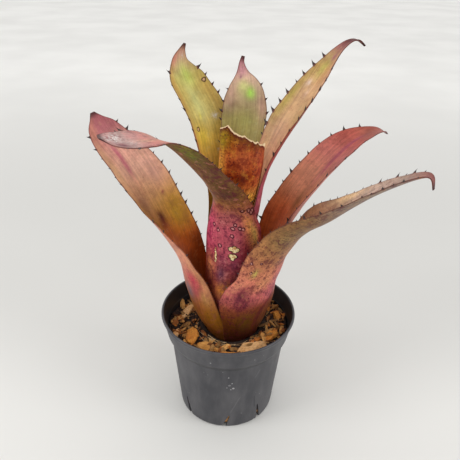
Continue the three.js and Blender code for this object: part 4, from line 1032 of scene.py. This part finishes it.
        lower_dabs=[
            (0.3, -0.5, 0.04, 0.17, 0x501228, 0.95), (0.27, -0.3, 0.03, 0.16, 0x6C1C30, 0.8),
            (0.33, -0.62, 0.02, 0.12, 0x7C2038, 0.7),
            (0.396, -0.57, 0.012, 0.07, 0x9CA048, 0.8), (0.4, 0.3, 0.07, 0.25, 0xB85C62, 0.65),
            (0.34, 0.6, 0.06, 0.25, 0xB85064, 0.65), (0.36, -0.15, 0.04, 0.2, 0xC88C5C, 0.6),
            (0.25, 0.62, 0.1, 0.09, 0x6A1420, 0.85),
            (0.34, -0.8, 0.03, 0.15, 0xC07C60, 0.6), (0.19, 0.15, 0.04, 0.5, 0x5C4210, 0.65),
            (0.55, -0.5, 0.06, 0.3, 0x8C7A4A, 0.5), (0.21, 0.8, 0.05, 0.2, 0x541C26, 0.8),
            (0.5, 0.3, 0.05, 0.3, 0xA86A58, 0.5), (0.66, -0.2, 0.08, 0.3, 0x7C5C50, 0.5)]),
    "leaf_inner_torn": dict(
        upper=[(0, 0x3C200C), (0.6, 0x7C4420), (0.8, 0x9C5C2C), (1, 0xA8703C)],
        lower=[(0, 0x5C2C10), (0.5, 0xA8582A), (0.66, 0xE8A840), (0.71, 0xE89C48), (0.75, 0xC86430),
               (0.79, 0xA44418),
               (0.86, 0xB85C30), (0.91, 0x8E4416), (0.94, 0x785010), (0.965, 0x5C2A14), (1, 0x742C1C)],
        upper_dabs=[(0.8, 0.5, 0.1, 0.3, 0xB07C34, 0.5), (0.9, -0.5, 0.05, 0.3, 0x8C7A2C, 0.5)],
        lower_dabs=[
            (0.69, 0.1, 0.025, 0.5, 0xF0B848, 0.8), (0.8, -0.92, 0.09, 0.14, 0xE8AC40, 0.9),
            (0.72, 0.75, 0.05, 0.2, 0xE8A048, 0.7),
            (0.92, -0.9, 0.04, 0.2, 0x9C8414, 0.95), (0.91, 0.25, 0.015, 0.3, 0x766A10, 0.6),
            (0.783, -0.25, 0.022, 0.2, 0x641E10, 0.8), (0.84, -0.5, 0.02, 0.15, 0x84361A, 0.6),
            (0.85, 0.05, 0.02, 0.15, 0x7C2C1A, 0.6), (0.82, 0.38, 0.06, 0.14, 0xB04634, 0.75),
            (0.955, -0.4, 0.015, 0.25, 0x5C1418, 0.8), (0.74, 0.7, 0.06, 0.3, 0xA85A4C, 0.6)]),
}

print("dabs of paint:", sum(len(c["upper_dabs"]) + len(c["lower_dabs"]) for c in LEAF_COLOURS.values()))

# %% Laying the paints on
def near(along, across, place, sideways, reach, spread):
    """How near each point is to a place on the leaf: 1 there, and softly down to 0 around it."""
    return np.exp(-((along - place) / reach) ** 2 - ((across - sideways) / spread) ** 2)


def laid_on(run, dabs, along, across):
    """Linear colours from a run of paints and its dabs, for points at shares along and across."""
    stops, paints = [stop for stop, _ in run], np.array([paint(code) for _, code in run])
    colours = np.stack([np.interp(along, stops, paints[:, c]) for c in range(3)], axis=1)
    for *where, code, strength in dabs:
        weight = strength * near(along, across, *where)
        colours += weight[:, None] * (np.array(paint(code)) - colours)
    return colours

# %% [markdown]
# The fine pattern is the material's: veins that run with the leaf, mottling, freckles, a dark line
# along the margin, and pale scurf where it has not been rubbed off. It is too fine to store on the
# points, so it is reckoned from the millimetres that they carry. Some leaves carry round marks with
# a dark ring, or old scars with a corky cream middle. They are set by their place on the leaf.

# %% Skin of a leaf
def nearest_mark(skin, spot, marks):
    """Distance to the nearest round mark, in parts of that mark's own radius."""
    nearest = None
    for across, along, radius in marks:
        away = skin.add("ShaderNodeVectorMath", {"operation": "DISTANCE"}, {
            0: spot, 1: (across, along, 0.0)}, out="Value") * (1 / radius)
        nearest = away if nearest is None else nearest.math("MINIMUM", away)
    return nearest


def leaf_skin(name, stain, glow, speckled, marks=(), scars=(), back_marks=True, torn=False):
    """The skin of a leaf: two paints for its blotches, how speckled it is, and where its marks are."""
    skin = Finish(name, Specular_IOR_Level=0.16)
    tone = skin.stored("tone", "Color")
    along, across, edge, upper, bloom, from_end = (skin.stored(key) for key in (
        "along_mm", "across_mm", "edge_mm", "upper", "bloom", "from_end_mm"))
    amount = (1 - upper * 0.55) * speckled
    seed = upper * 7
    veins = skin.noise(1.0, 3, 0.6, at=skin.vector(across * 0.55, along * 0.02, seed))
    fine_veins = skin.noise(1.0, 3, 0.6, at=skin.vector(across * 2.2, along * 0.05, seed))
    mottle, blotch, grain = skin.noise(75, 5, 0.65), skin.noise(190, 5, 0.68), skin.noise(520, 3, 0.7)
    dots = skin.cells(470).step(0.2, 0.36, 1.0, 0.0) * skin.noise(90, 3).step(0.4, 0.56)
    spots = skin.cells(210).step(0.08, 0.16, 1.0, 0.0) * skin.noise(48, 3).step(0.45, 0.6)
    colour = skin.shaded(tone, veins.step(0.3, 0.7, 0.86, 1.13) * mottle.step(0.3, 0.7, 0.84, 1.14)
                         * fine_veins.step(0.3, 0.7, 0.92, 1.07))
    colour = skin.layered(
        skin.shaded(colour, 1 - (grain - 0.5) * amount * 1.6),
        (blotch.step(0.5, 0.62) * (amount * 0.7 + 0.1), stain),
        (blotch.step(0.47, 0.34) * along.step(50, 95) * (amount * 0.35 + 0.12), glow),
        (dots * amount * 0.8, 0x431420), (spots * (amount * 0.45 + 0.15), 0x3A1016))
    wobble = (skin.noise(330, 3, 0.6) - 0.5) * 3.0
    spot = skin.vector(across + wobble, along - wobble, 0.0)
    side = 1 - upper if back_marks else upper
    if marks:
        away = nearest_mark(skin, spot, marks)
        ring = away.step(0.45, 0.7) * away.step(1.0, 1.3, 1.0, 0.0) * side
        colour = skin.layered(colour, (away.step(0.3, 0.6, 0.6, 0.0) * side, 0xD09A94),
                              (ring * 0.85, 0x34101E))
    if scars:
        away = nearest_mark(skin, spot, scars)
        colour = skin.layered(colour, (away.step(1.0, 1.3, 1.0, 0.0) * side, 0x2E1216))
        colour = skin.mix(away.step(0.72, 0.85, 1.0, 0.0) * side, colour,
                          skin.mix(grain.step(0.4, 0.6), paint(0xF0DCA8), paint(0xC08A50)))
    ragged = from_end + (grain - 0.5) * 2.4
    tip = [(ragged.step(0.5, 6.0, 0.85, 0.0), 0x33100F)]
    if torn:
        tip = [(ragged.step(0.5, 5.0, 0.85, 0.0) * (1 - upper * 0.7), 0x5A1610),
               (ragged.step(0.7, 1.1, 1.0, 0.0), 0xE8CDA2)]
    scurf = bloom * skin.noise(620, 3, 0.7).step(0.4, 0.58)
    colour = skin.layered(colour, (edge.step(0.0, 0.7, 0.6, 0.0), 0x5A2A20), *tip, (scurf, 0xE2DCD6))
    skin.set(Base_Color=colour, Roughness=mottle.step(0.3, 0.7, 0.36, 0.5) + bloom * 0.3)
    skin.bump(veins * 0.16 + fine_veins * 0.07 + mottle * 0.25 + scurf * 0.15)
    return skin


def ring_marks(*places, radius=1.6):
    return [(across, along, radius) for across, along in places]


LEAF_SKINS = {
    "leaf_left": leaf_skin("skin_left", 0x8A4A44, 0xD8A67C, 0.35),
    "leaf_front": leaf_skin(
        "skin_front", 0x601830, 0xD07C78, 0.85,
        marks=ring_marks((-15.2, 130), (-11.5, 127), (1.4, 130), (3.9, 133), (6.9, 130), (0, 124),
                         (-9.8, 114), (11.6, 145), (16.1, 144), (19.6, 143), (17.8, 142), (9.5, 129)),
        scars=[(-0.4, 112.4, 2.1), (2.2, 113.4, 1.9), (4.6, 111.6, 1.9), (2.2, 110.6, 1.9),
               (-0.2, 106.2, 2.2), (2.6, 105.4, 2.2), (1.0, 103.6, 1.8),
               *[(-13.7 + 0.3 * math.sin(2 * k), 104 + 1.5 * k, 1.3 - 0.18 * abs(k))
                 for k in range(-4, 5)]]),
    "leaf_right": leaf_skin("skin_right", 0x7C3430, 0xD49070, 0.35),
    "leaf_back_left": leaf_skin("skin_back_left", 0x9A7434, 0xD8D08C, 0.2, back_marks=False,
                                marks=ring_marks((11.3, 198), (-15.1, 233), radius=1.9)),
    "leaf_back": leaf_skin("skin_back", 0x846A4E, 0xC8C890, 0.25),
    "leaf_back_right": leaf_skin("skin_back_right", 0x96563E, 0xD8B880, 0.35),
    "leaf_front_right": leaf_skin("skin_front_right", 0x5E2028, 0xC08454, 0.85,
                                  marks=ring_marks((-19, 104), (-22, 110), (-15, 112), radius=1.0)),
    "leaf_inner_torn": leaf_skin("skin_inner_torn", 0x701808, 0xE09A3C, 0.8, torn=True),
}
print("skins:", [skin.material.name for skin in LEAF_SKINS.values()])

# %% [markdown]
# Now each leaf is made from its stations, its paints and its skin. A torn leaf is shorter, and its
# end is ragged. The leaves could be joined into one plant, but they stay apart, because each is a
# piece of its own on the real plant and has its own name here.

# %% Leaves
for leaf in plants_leaves:
    points, faces, along, across, side, halves = blade(leaf)
    colours = LEAF_COLOURS[leaf.name]
    lower, upper = (laid_on(colours[face], colours[face + "_dabs"], along, across)
                    for face in ("lower", "upper"))
    tone = lower + side[:, None] * (upper - lower)
    ends = np.interp(across, SIDEWAYS, [torn_end(leaf, s) for s in SIDEWAYS])
    bloom = np.zeros(len(along))
    for *where, strength in colours.get("bloom", ()):
        bloom += side * strength * near(along, across, *where)
    blade_mesh = mesh_from(
        leaf.name, points, faces, tone=tone, along_mm=along * leaf.length, across_mm=across * halves,
        edge_mm=(1 - np.abs(across)) * halves, upper=side, bloom=np.clip(bloom, 0, 1),
        from_end_mm=(ends - along) * leaf.length)
    piece(leaf.name + "_blade", blade_mesh, LEAF_SKINS[leaf.name], "leaf", leaf.name, sharp=60)
    spines = clawed.grow(spine_points(leaf), spine_horn, claw=one_claw)
    piece(leaf.name + "_spines", spines, None, "leaf", sharp=80)
bpy.data.objects.remove(one_claw)

# %% [markdown]
# The potting mix is composted bark and peat: nearly black, crumbly and uneven. Its top could be a
# flat disc with a Displace modifier, but it has to close round the plant and stay inside the pot. So
# its body is a closed solid laid out in rings, with a rough top and the hole that the plant stands
# in, fine where it shows and plain underneath.

# %% Height of the mix
def mix_height(x, y):
    """The gentle swell of the mix, as in the solids."""
    return 85.5 + 1.3 * math.sin(0.11 * x + 1.3) * math.cos(0.13 * y - 0.4) + 0.02 * (x + 10)


def crumble(x, y):
    """Small lumps and pits on top of the swell, in mm."""
    coarse = noise.noise(Vector((x * 0.16, y * 0.16, 3.1)))
    fine = noise.noise(Vector((x * 0.45, y * 0.45, 8.3)))
    grit = noise.noise(Vector((x * 1.1, y * 1.1, 1.7)))
    return 1.1 * coarse + 0.7 * fine + 0.35 * grit


print("height of the mix in front of the plant in mm:", round(mix_height(0, -40), 1))

# %% Body of the mix
SWELL_TURNS, TOP_RINGS = 168, 26
HOLE_GAP = 0.8
FRONT_FACING, FRONT_HALF, FRONT_FADE = (math.radians(v) for v in (-71, 48, 20))


def hole_radius(height, angle):
    """The mix closes round the outermost sheath in front and the next one elsewhere."""
    away = abs((angle - FRONT_FACING + math.pi) % (2 * math.pi) - math.pi)
    outermost = 1 - float(ease((away - FRONT_HALF) / FRONT_FADE))
    return smooth(FUNNEL, height) - LAYER * (1 - outermost) + HOLE_GAP


def mix_body():
    """Points and faces of the mix, and for each point whether it is on the rough top."""
    angles = [2 * math.pi * k / SWELL_TURNS for k in range(SWELL_TURNS)]
    wall = COLLAR_FOOT[0] - WALL
    sides = [(FOOT - WALL - 2.4, FLOOR + 0.3), (body_radius(4.4) - WALL - 0.45, 4.6),
             (BODY_TOP[0] - WALL - 0.45, 76.5), (BODY_TOP[0] - WALL - 0.1, 80.2), (wall - 1.2, 83)]
    loops = [[(r * math.cos(a), r * math.sin(a), z) for a in angles] for r, z in sides]
    rings = np.linspace(wall - 0.9, 31, TOP_RINGS)
    for k, radius in enumerate(rings):
        share = k / (len(rings) - 1)
        edge = float(ease(k / 2))
        loop = []
        for a in angles:
            x, y = radius * math.cos(a) + AXIS[0] * share, radius * math.sin(a) + AXIS[1] * share
            loop.append((x, y, mix_height(x, y) + crumble(x, y) * edge))
        loops.append(loop)
    for height, level in ((86.4, 0.0), (80, 80), (66.2, 65.7)):
        loop = []
        for a in angles:
            radius = hole_radius(height, a)
            x, y = radius * math.cos(a) + AXIS[0], radius * math.sin(a) + AXIS[1]
            loop.append((x, y, level or mix_height(x, y) - 0.3))
        loops.append(loop)
    points = [p for loop in loops for p in loop]
    faces = ring_faces(len(loops), SWELL_TURNS)
    end = (len(loops) - 1) * SWELL_TURNS
    faces += [tuple(range(SWELL_TURNS))[::-1], tuple(range(end, end + SWELL_TURNS))]
    top = [len(sides) <= j < len(sides) + len(rings) for j in range(len(loops))
           for _ in range(SWELL_TURNS)]
    return points, faces, np.array(top, dtype=float)


mix_points, mix_faces, mix_top = mix_body()
mix_mesh = mesh_from("mix", mix_points, mix_faces, top=mix_top)
print("points of the mix:", len(mix_points), "of them on its rough top:", int(mix_top.sum()))

# %% [markdown]
# Peat is matt and dark with small brown bits. One dark brown would look like a lid, so two noises
# set the clods and the bits apart. Low down, where the slits let it be seen, it has pale chips.

# %% Finish of the mix
peat = Finish("peat_mix", Roughness=0.95)
clods = peat.noise(240, 5, 0.7)
low_down = peat.split(peat.place)[2].step(0.06, 0.07, 1.0, 0.0)
peat.set(Base_Color=peat.layered(
    paint(0x140A06), (clods.step(0.35, 0.7), 0x3A2114),
    (peat.cells(420).step(0.12, 0.2, 1.0, 0.0) * 0.7, 0x7A4422),
    (low_down * peat.noise(110, 3).step(0.5, 0.6), 0xC08A54)))
peat.bump(clods * 0.6 + peat.noise(1100) * 0.15)
piece("mix_bed", mix_mesh, peat, "mix", "potting_mix", sharp=180)

# %% [markdown]
# The bark chips are pieces of pine bark: flat slabs split along the grain, with ragged edges, orange
# where they broke lately and brown where they have weathered. They could be boxes with a bump, but
# their broken outlines show. So each solid chip is copied, merged and remeshed finely, flattened by a
# few splits, and roughened along its own grain. A chip's grain follows its longest way, which comes
# from the spread of its points.

# %% Shape of a chip
VOXEL = 0.55            # mm
SPLITS = 7              # flat splits round the grain of a chip
CHIP_STRETCH = (1.3, 1.1, 0.85)     # along the grain, across it, and through the chip


def copy_of(node, voxel):
    """A closed, evenly meshed copy of a solid."""
    edit = bmesh.new()
    edit.from_mesh(frame["nodes"][node].data)
    bmesh.ops.remove_doubles(edit, verts=edit.verts, dist=1e-6)
    mesh = bpy.data.meshes.new(node + "_copy")
    edit.to_mesh(mesh)
    edit.free()
    thing = bpy.data.objects.new(node + "_copy", mesh)
    bpy.context.scene.collection.objects.link(thing)
    even = thing.modifiers.new("even", "REMESH")
    even.mode, even.voxel_size = "VOXEL", voxel * MM
    return frozen(thing)


def split_bark(mesh, seed):
    """Splits a chip flat, roughens it along its grain, and stores the grain's coordinates on it."""
    points, normals = points_of(mesh), vectors_of(mesh.vertex_normals, "vector")
    middle = points.mean(axis=0)
    _, ways = np.linalg.eigh(np.cov((points - middle).T))
    ways = ways[:, ::-1]
    own = (points - middle) @ ways * CHIP_STRETCH
    draw = draws(int(seed * 100) + 7)
    for k in range(SPLITS):
        # Whatever stands out beyond a flat split is pressed back onto it.
        turn, tilt = 2 * math.pi * (k + next(draw)) / SPLITS, 0.9 * (next(draw) - 0.5)
        split = unit(np.array([tilt, math.cos(turn), math.sin(turn)]))
        reach = own @ split
        own -= np.multiply.outer(np.maximum(reach - reach.max() * (0.55 + 0.25 * next(draw)), 0), split)
    points = own @ ways.T + middle
    ridge = [noise.noise(Vector((a * 0.10, b * 0.75, c * 0.75 + seed))) for a, b, c in own]
    lump = [noise.noise(Vector((a * 0.28 + seed, b * 0.35, c * 0.4))) for a, b, c in own]
    chipped = [abs(noise.noise(Vector((a * 0.6, b * 0.9, c * 0.9 - seed)))) for a, b, c in own]
    inward = 0.55 * np.array(ridge) + 0.6 * np.array(lump) - 0.5 * np.array(chipped)
    points = points + normals * np.clip(inward, -1.1, 0.3)[:, None]
    mesh.vertices.foreach_set("co", (points * MM).ravel().astype(np.float32))
    store(mesh, "with_grain", own[:, 0])
    store(mesh, "across_grain", own[:, 1])
    mesh.update()


print("voxel of a chip in mm:", VOXEL, "splits:", SPLITS)

# %% [markdown]
# Bark has a grain: long dark lines with pale wood between them, and patches of weathered skin. A
# plain noise has no direction, so the noise is stretched along the grain that each chip stores. Four
# mixtures of it are enough, from pale fresh wood to old brown bark.

# %% Bark
def bark(name, fresh, weathered, heart):
    """Bark of one kind: the colour of the split wood, of its weathered skin, and of its dark grain."""
    finish = Finish(name, Roughness=0.85)
    lengthwise, sideways = finish.stored("with_grain"), finish.stored("across_grain")
    grain = finish.noise(1.0, 4, 0.65, at=finish.vector(lengthwise * 0.13, sideways * 1.5, 0.0))
    fine = finish.noise(1.0, 3, 0.6, at=finish.vector(lengthwise * 0.4, sideways * 4.5, 3.0))
    patches = finish.noise(140, 4, 0.6)
    colour = finish.layered(paint(fresh), (patches.step(0.38, 0.66), weathered),
                            (grain.step(0.5, 0.72) * 0.75, heart))
    finish.set(Base_Color=finish.shaded(colour, fine.step(0.3, 0.7, 0.78, 1.18)))
    finish.bump(grain * 0.5 + fine * 0.16 + finish.noise(900) * 0.08)
    return finish


pale_bark = bark("bark_pale", 0xE6B47C, 0xD49A5C, 0x8E5424)
orange_bark = bark("bark_orange", 0xDE9438, 0xC87828, 0x703A10)
tan_bark = bark("bark_tan", 0xDA9C50, 0xBE8038, 0x6C401A)
brown_bark = bark("bark_brown", 0xA05C22, 0x5C3218, 0x2A150A)

CHIP_BARKS = {
    pale_bark: (1, 3, 6), orange_bark: (2, 5, 7, 8), tan_bark: (4, 10, 11),
    brown_bark: (9, 12, 13, 14, 15),
}
for chip_bark, numbers in CHIP_BARKS.items():
    for number in numbers:
        chip = copy_of(f"bark_chip_{number}", VOXEL)
        split_bark(chip, number * 7.3)
        piece(f"bark_{number}", chip, chip_bark, "bark", f"bark_chip_{number}", sharp=180)

# %% [markdown]
# Between the chips lie hundreds of small crumbs of bark and pale splinters. They could be a particle
# system, but those give no plain mesh, so they are strewn on the top of the mix by Geometry Nodes:
# points spread over it by a fixed seed, and on each point an instance that is turned and stretched at
# random. One tree makes all kinds of litter.

# %% Strewing litter on the mix
strewn = Growth("strewn", litter=bpy.types.Object, spread=float, seed=int, small=float, large=float,
                stand=float, sink=float)
spots = strewn.add("GeometryNodeDistributePointsOnFaces", {"distribute_method": "RANDOM"}, {
    0: strewn["Geometry"], "Density": strewn["spread"], "Seed": strewn["seed"]})
lift = strewn.add("GeometryNodeSetPosition", inputs={
    0: spots, "Offset": strewn.vector(0.0, 0.0, strewn["sink"])})
bit = strewn.add("GeometryNodeObjectInfo", inputs={0: strewn["litter"]}, out="Geometry")
turn = strewn.vector(strewn.random(-1.0, 1.0, 11) * strewn["stand"], strewn.random(-1.0, 1.0, 12)
                     * strewn["stand"], strewn.random(0.0, 6.283, 13))
size = strewn.random(0.0, 1.0, 14)
size = strewn["small"] + (strewn["large"] - strewn["small"]) * size * size
stretch = strewn.vector(size * strewn.random(0.8, 1.5, 15), size * strewn.random(0.7, 1.1, 16),
                        size * strewn.random(0.6, 1.1, 17))
placed = strewn.add("GeometryNodeInstanceOnPoints", inputs={
    0: lift, "Instance": bit, "Rotation": turn, "Scale": stretch})
strewn.end(strewn.add("GeometryNodeStoreNamedAttribute", {"data_type": "FLOAT", "domain": "INSTANCE"}, {
    0: placed, "Name": "shade", "Value": strewn.random(0.0, 1.0, 18)}))

print("sizes of the strewing tree:", list(strewn.ids))

# %% Ground and bits
def strewing_ground(reach_in, reach_out):
    """The rough top of the mix between two distances from the plant, as a mesh of its own."""
    edit = bmesh.new()
    edit.from_mesh(mix_mesh)
    top = edit.verts.layers.float["top"]

    def away(vert):
        return math.hypot(vert.co.x / MM - AXIS[0], vert.co.y / MM - AXIS[1])

    unwanted = [v for v in edit.verts if not v[top] or not reach_in < away(v) < reach_out]
    bmesh.ops.delete(edit, geom=unwanted, context="VERTS")
    mesh = bpy.data.meshes.new("strewing_ground")
    edit.to_mesh(mesh)
    edit.free()
    return mesh


def litter_bit(name, length, breadth, height, seed):
    """An angular crumb of 24 faces: a small block with its corners worn and broken at random."""
    edit = bmesh.new()
    bmesh.ops.create_cube(edit, size=2)
    bmesh.ops.subdivide_edges(edit, edges=edit.edges, cuts=1, use_grid_fill=True)
    for vert in edit.verts:
        flat = vert.co.lerp(vert.co.normalized(), 0.55)
        broken = 1 + 0.6 * noise.noise(flat * 1.9 + Vector((seed, 0, 0)))
        vert.co = Vector((flat.x * length, flat.y * breadth, flat.z * height)) * broken * MM / 2
    mesh = bpy.data.meshes.new(name)
    edit.to_mesh(mesh)
    edit.free()
    points = points_of(mesh)
    store(mesh, "with_grain", points[:, 0] * 6)
    store(mesh, "across_grain", points[:, 1] * 3)
    return bpy.data.objects.new(name, mesh)


def strew(name, bit, finish, slot, ground, **sizes):
    print("faces of each bit:", len(bit.data.polygons))
    bpy.context.scene.collection.objects.link(bit)
    made = strewn.grow(ground, finish, litter=bit, **sizes)
    bpy.data.objects.remove(bit)
    return piece(name, made, None, slot, sharp=35)


def shaded_by(finish, dark, light):
    """Makes each bit of litter a little darker or lighter than the next."""
    link = finish.shader.inputs["Base Color"].links[0].from_socket
    shade = finish.stored("shade").step(0, 1, dark, light)
    finish.set(Base_Color=finish.shaded(Wire(finish, link), shade))
    return finish


around_plant, between_chips = strewing_ground(30, 60), strewing_ground(29, 53)
print("faces to strew on:", len(around_plant.polygons), len(between_chips.polygons))

# %% Crumbs and splinters
crumb_orange = shaded_by(bark("crumb_orange", 0xC87A2C, 0xA05A20, 0x5E3010), 0.3, 1.1)
crumb_tan = shaded_by(bark("crumb_tan", 0xD8A05A, 0xB07838, 0x5E3A18), 0.4, 1.15)
crumb_dark = shaded_by(bark("crumb_dark", 0x3E2213, 0x24130A, 0x100804), 0.5, 1.5)

strew("crumbs_dark", litter_bit("dark_bit", 1.0, 0.8, 0.6, 3), crumb_dark, "mix", around_plant,
      spread=1.6e5, seed=4, small=1.2, large=3.4, stand=0.9, sink=0.0003)
strew("crumbs_tan", litter_bit("tan_bit", 1.3, 0.5, 0.28, 9), crumb_tan, "bark", between_chips,
      spread=2.6e4, seed=9, small=1.8, large=11.0, stand=0.5, sink=0.0006)
strew("crumbs_orange", litter_bit("orange_bit", 1.2, 0.5, 0.32, 21), crumb_orange, "bark", between_chips,
      spread=3.0e4, seed=15, small=1.4, large=8.5, stand=0.6, sink=0.0005)

# %% [markdown]
# Strings of old sheath lie round the foot of the plant like a loose nest: pale, dry and thin. Each
# could be a curve object with a bevel, but a string swells, thins and wanders, so Geometry Nodes
# sweep a small circle along a line that noise has bent. The two thickest follow the solids, and finer
# ones stray from them.

# %% Dry strings round the foot
STRING_STEP, STRING_WANDER = 0.0005, 0.0012      # in metres

stringy = Growth("stringy", thick=float, knots=float)
line = stringy.add("GeometryNodeMeshToCurve", inputs={0: stringy["Geometry"]})
line = stringy.add("GeometryNodeResampleCurve", {"mode": "LENGTH"}, {0: line, "Length": STRING_STEP})
wander = stringy.add("ShaderNodeTexNoise", inputs={"Scale": stringy["knots"], "Detail": 2.0},
                     out="Color")
wander = stringy.add("ShaderNodeVectorMath", {"operation": "SUBTRACT"}, {0: wander, 1: (0.5, 0.5, 0.5)})
wander = stringy.add("ShaderNodeVectorMath", {"operation": "SCALE"}, {
    "Vector": wander, "Scale": STRING_WANDER})
line = stringy.add("GeometryNodeSetPosition", inputs={0: line, "Offset": wander})
line = stringy.add("GeometryNodeSetCurveRadius", inputs={
    0: line, "Radius": stringy.add("ShaderNodeTexNoise", inputs={"Scale": 260.0}, out="Fac") + 0.5})
round_section = stringy.add("GeometryNodeCurvePrimitiveCircle", inputs={
    "Resolution": 7, "Radius": stringy["thick"]})
stringy.end(stringy.add("GeometryNodeCurveToMesh", inputs={
    0: line, 1: round_section, "Fill Caps": True}))

print("nodes in the string tree:", len(stringy.tree.nodes))

# %% Strings
def string_line(start, end, radius, lift, turns=0.0):
    """A line round the plant, as a mesh of points in order: directions in degrees, sizes in mm."""
    points = []
    for t in np.linspace(0, 1, 40):
        angle = math.radians(start + (end - start) * t)
        reach = radius + 0.4 * math.sin(9 * angle) + turns * math.sin(math.pi * t)
        x, y = AXIS[0] + reach * math.cos(angle), AXIS[1] + reach * math.sin(angle)
        points.append((x, y, mix_height(x, y) + lift))
    return line_mesh("string_line", points)


dry_sheath = Finish("dry_sheath", Roughness=0.75)
dry_sheath.set(Base_Color=dry_sheath.mix(
    dry_sheath.noise(180, 4, 0.6).step(0.35, 0.65), paint(0xC9AC83), paint(0x8E6A42)))
dry_sheath.bump(dry_sheath.noise(1500, 2) * 0.1)

THICK_STRINGS = ((-134, -98, 30.4, 0.42), (-140, -84, 32.9, 0.38))
THICK_LIFT, STRAY_THICK = 0.95, 0.16
STRAYS = ((-176, -118, 31.4, 1.3, 2.0), (-128, -64, 30.6, 1.5, 3.2), (-60, -12, 31.5, 1.2, 2.5),
          (-150, -100, 34.6, 1.6, 4.0), (-110, -52, 33.2, 1.3, 1.0), (20, 95, 30.5, 1.2, 2.5),
          (110, 168, 30.2, 1.2, 2.0), (-20, 22, 31, 1.3, 2.2))
for number, (start, end, radius, thick) in enumerate(THICK_STRINGS, 1):
    line = string_line(start, end, radius, THICK_LIFT)
    string = stringy.grow(line, dry_sheath, thick=thick * MM, knots=55.0)
    piece(f"string_{number}", string, None, "fibre", f"dry_fibre_{number}")
for number, stray in enumerate(STRAYS, 1):
    string = stringy.grow(string_line(*stray), dry_sheath, thick=STRAY_THICK * MM, knots=38.0)
    piece(f"stray_string_{number}", string, None, "fibre")

# %% [markdown]
# At the bottom of the funnel is the short stem that the innermost sheath clasps. It ends in a
# blunt growing point ringed by the scars of old sheaths. It could be a cone, but the rings show from
# above, so it is turned from a finely stepped profile, with the same tree as the pot.

# %% Stem
STEM_FOOT, STEM_TOP = 66, 92
STEM_LAYER, STEM_GAP = 6, 0.3       # the innermost sheath's layer, and the gap inside it
SCAR_PITCH, SCAR_DEPTH = 2.2, 0.25


def inside_sheaths(height):
    return smooth(FUNNEL, height) - STEM_LAYER * LAYER - THICK / 2 - STEM_GAP


def ringed(profile):
    """The stem's profile in fine steps, with a shallow ring at every step of the scars."""
    made = [profile[0]]
    for (r0, z0), (r1, z1) in zip(profile, profile[1:]):
        for t in np.linspace(0, 1, 7)[1:]:
            r, z = r0 + (r1 - r0) * t, z0 + (z1 - z0) * t
            made.append((max(r - SCAR_DEPTH * abs(math.sin(math.pi * z / SCAR_PITCH)), 0), z))
    return made


stem_profile = [
    (0, STEM_FOOT), (inside_sheaths(STEM_FOOT) - 0.6, STEM_FOOT), (inside_sheaths(70) - 0.4, 70),
    (inside_sheaths(77) - 0.4, 77), (inside_sheaths(83) - 1.6, 83), (8.5, 88.5), (4.5, 91.2),
    (0, STEM_TOP)]
stem_skin = Finish("stem_skin", Roughness=0.7)
x, y, z = stem_skin.split(stem_skin.place)
rings = (z * (2 * math.pi / (SCAR_PITCH * MM))).math("SINE")
husk = stem_skin.noise(260, 4, 0.6, at=stem_skin.vector(x, y, z * 0.2))
stem_skin.set(Base_Color=stem_skin.mix(husk.step(0.35, 0.65), paint(0x7E6B3A), paint(0x513D20)))
stem_skin.bump(husk * 0.3 + rings * 0.08)
stem_mesh = turned.grow(profile_line("stem_profile", ringed(stem_profile)), stem_skin, turns=64)
stem_points = points_of(stem_mesh) + np.array([*AXIS, 0])
stem_mesh.vertices.foreach_set("co", (stem_points * MM).ravel().astype(np.float32))
piece("stem_stump", stem_mesh, stem_skin, "stem", "stem")

# %% [markdown]
# The plant stands on a pale bench in soft studio light. The bench could be a curved backdrop, but
# the object is also looked at from behind and above, so it is one very wide flat surface, with the
# shading of a backdrop painted on it: a little darker in a band just behind the pot, and brighter
# far away. A bright even sky lights everything, and two large soft lights on either side give the
# faint shadows left and right. The Standard view keeps the paints as they were mixed.

# %% Bench and light
BENCH_REACH, BENCH_LEVEL = 9000, -0.2       # in mm; just under the pot, so that nothing flickers
SKY_STRENGTH = 0.86

bench_finish = Finish("pale_bench", Roughness=0.6)
far = bench_finish.split(bench_finish.place)[1]
# Painted shading: the bench is darker in a band just behind the pot and brighter far away.
bench_finish.set(Base_Color=bench_finish.layered(
    paint(0xDFDEDA), (far.step(-0.05, 0.22), 0xD0CFCB), (far.step(0.3, 1.6), 0xFBFAF6),
    (bench_finish.noise(3.0, 3).step(0.3, 0.7) * 0.3, 0xD6D5D1)))
corners = [(x * BENCH_REACH, y * BENCH_REACH, BENCH_LEVEL)
           for x, y in ((-1, -1), (1, -1), (1, 1), (-1, 1))]
bench = bpy.data.objects.new("bench", mesh_from("bench", corners, [(0, 1, 2, 3)]))
bpy.context.scene.collection.objects.link(bench)
bench.data.materials.append(bench_finish.material)

sky = bpy.data.worlds.new("studio")
sky.use_nodes = True
sky.node_tree.nodes["Background"].inputs["Color"].default_value = (1.0, 1.0, 1.0, 1.0)
sky.node_tree.nodes["Background"].inputs["Strength"].default_value = SKY_STRENGTH
bpy.context.scene.world = sky
bpy.context.scene.view_settings.view_transform = "Standard"


def soft_light(name, place, power, aim=(0, 0, 0.15), size=0.7):
    """A square light that hangs at a place and looks at the middle of the object, in metres."""
    light = bpy.data.lights.new(name, "AREA")
    light.size, light.energy = size, power
    lamp = bpy.data.objects.new(name, light)
    bpy.context.scene.collection.objects.link(lamp)
    lamp.location = place
    lamp.rotation_euler = (Vector(aim) - Vector(place)).to_track_quat("-Z", "Y").to_euler()


print("sky:", sky.name, "view:", bpy.context.scene.view_settings.view_transform)
soft_light("light_right", (1.3, -0.5, 1.0), 7)
soft_light("light_left", (-1.3, -0.5, 1.0), 9)
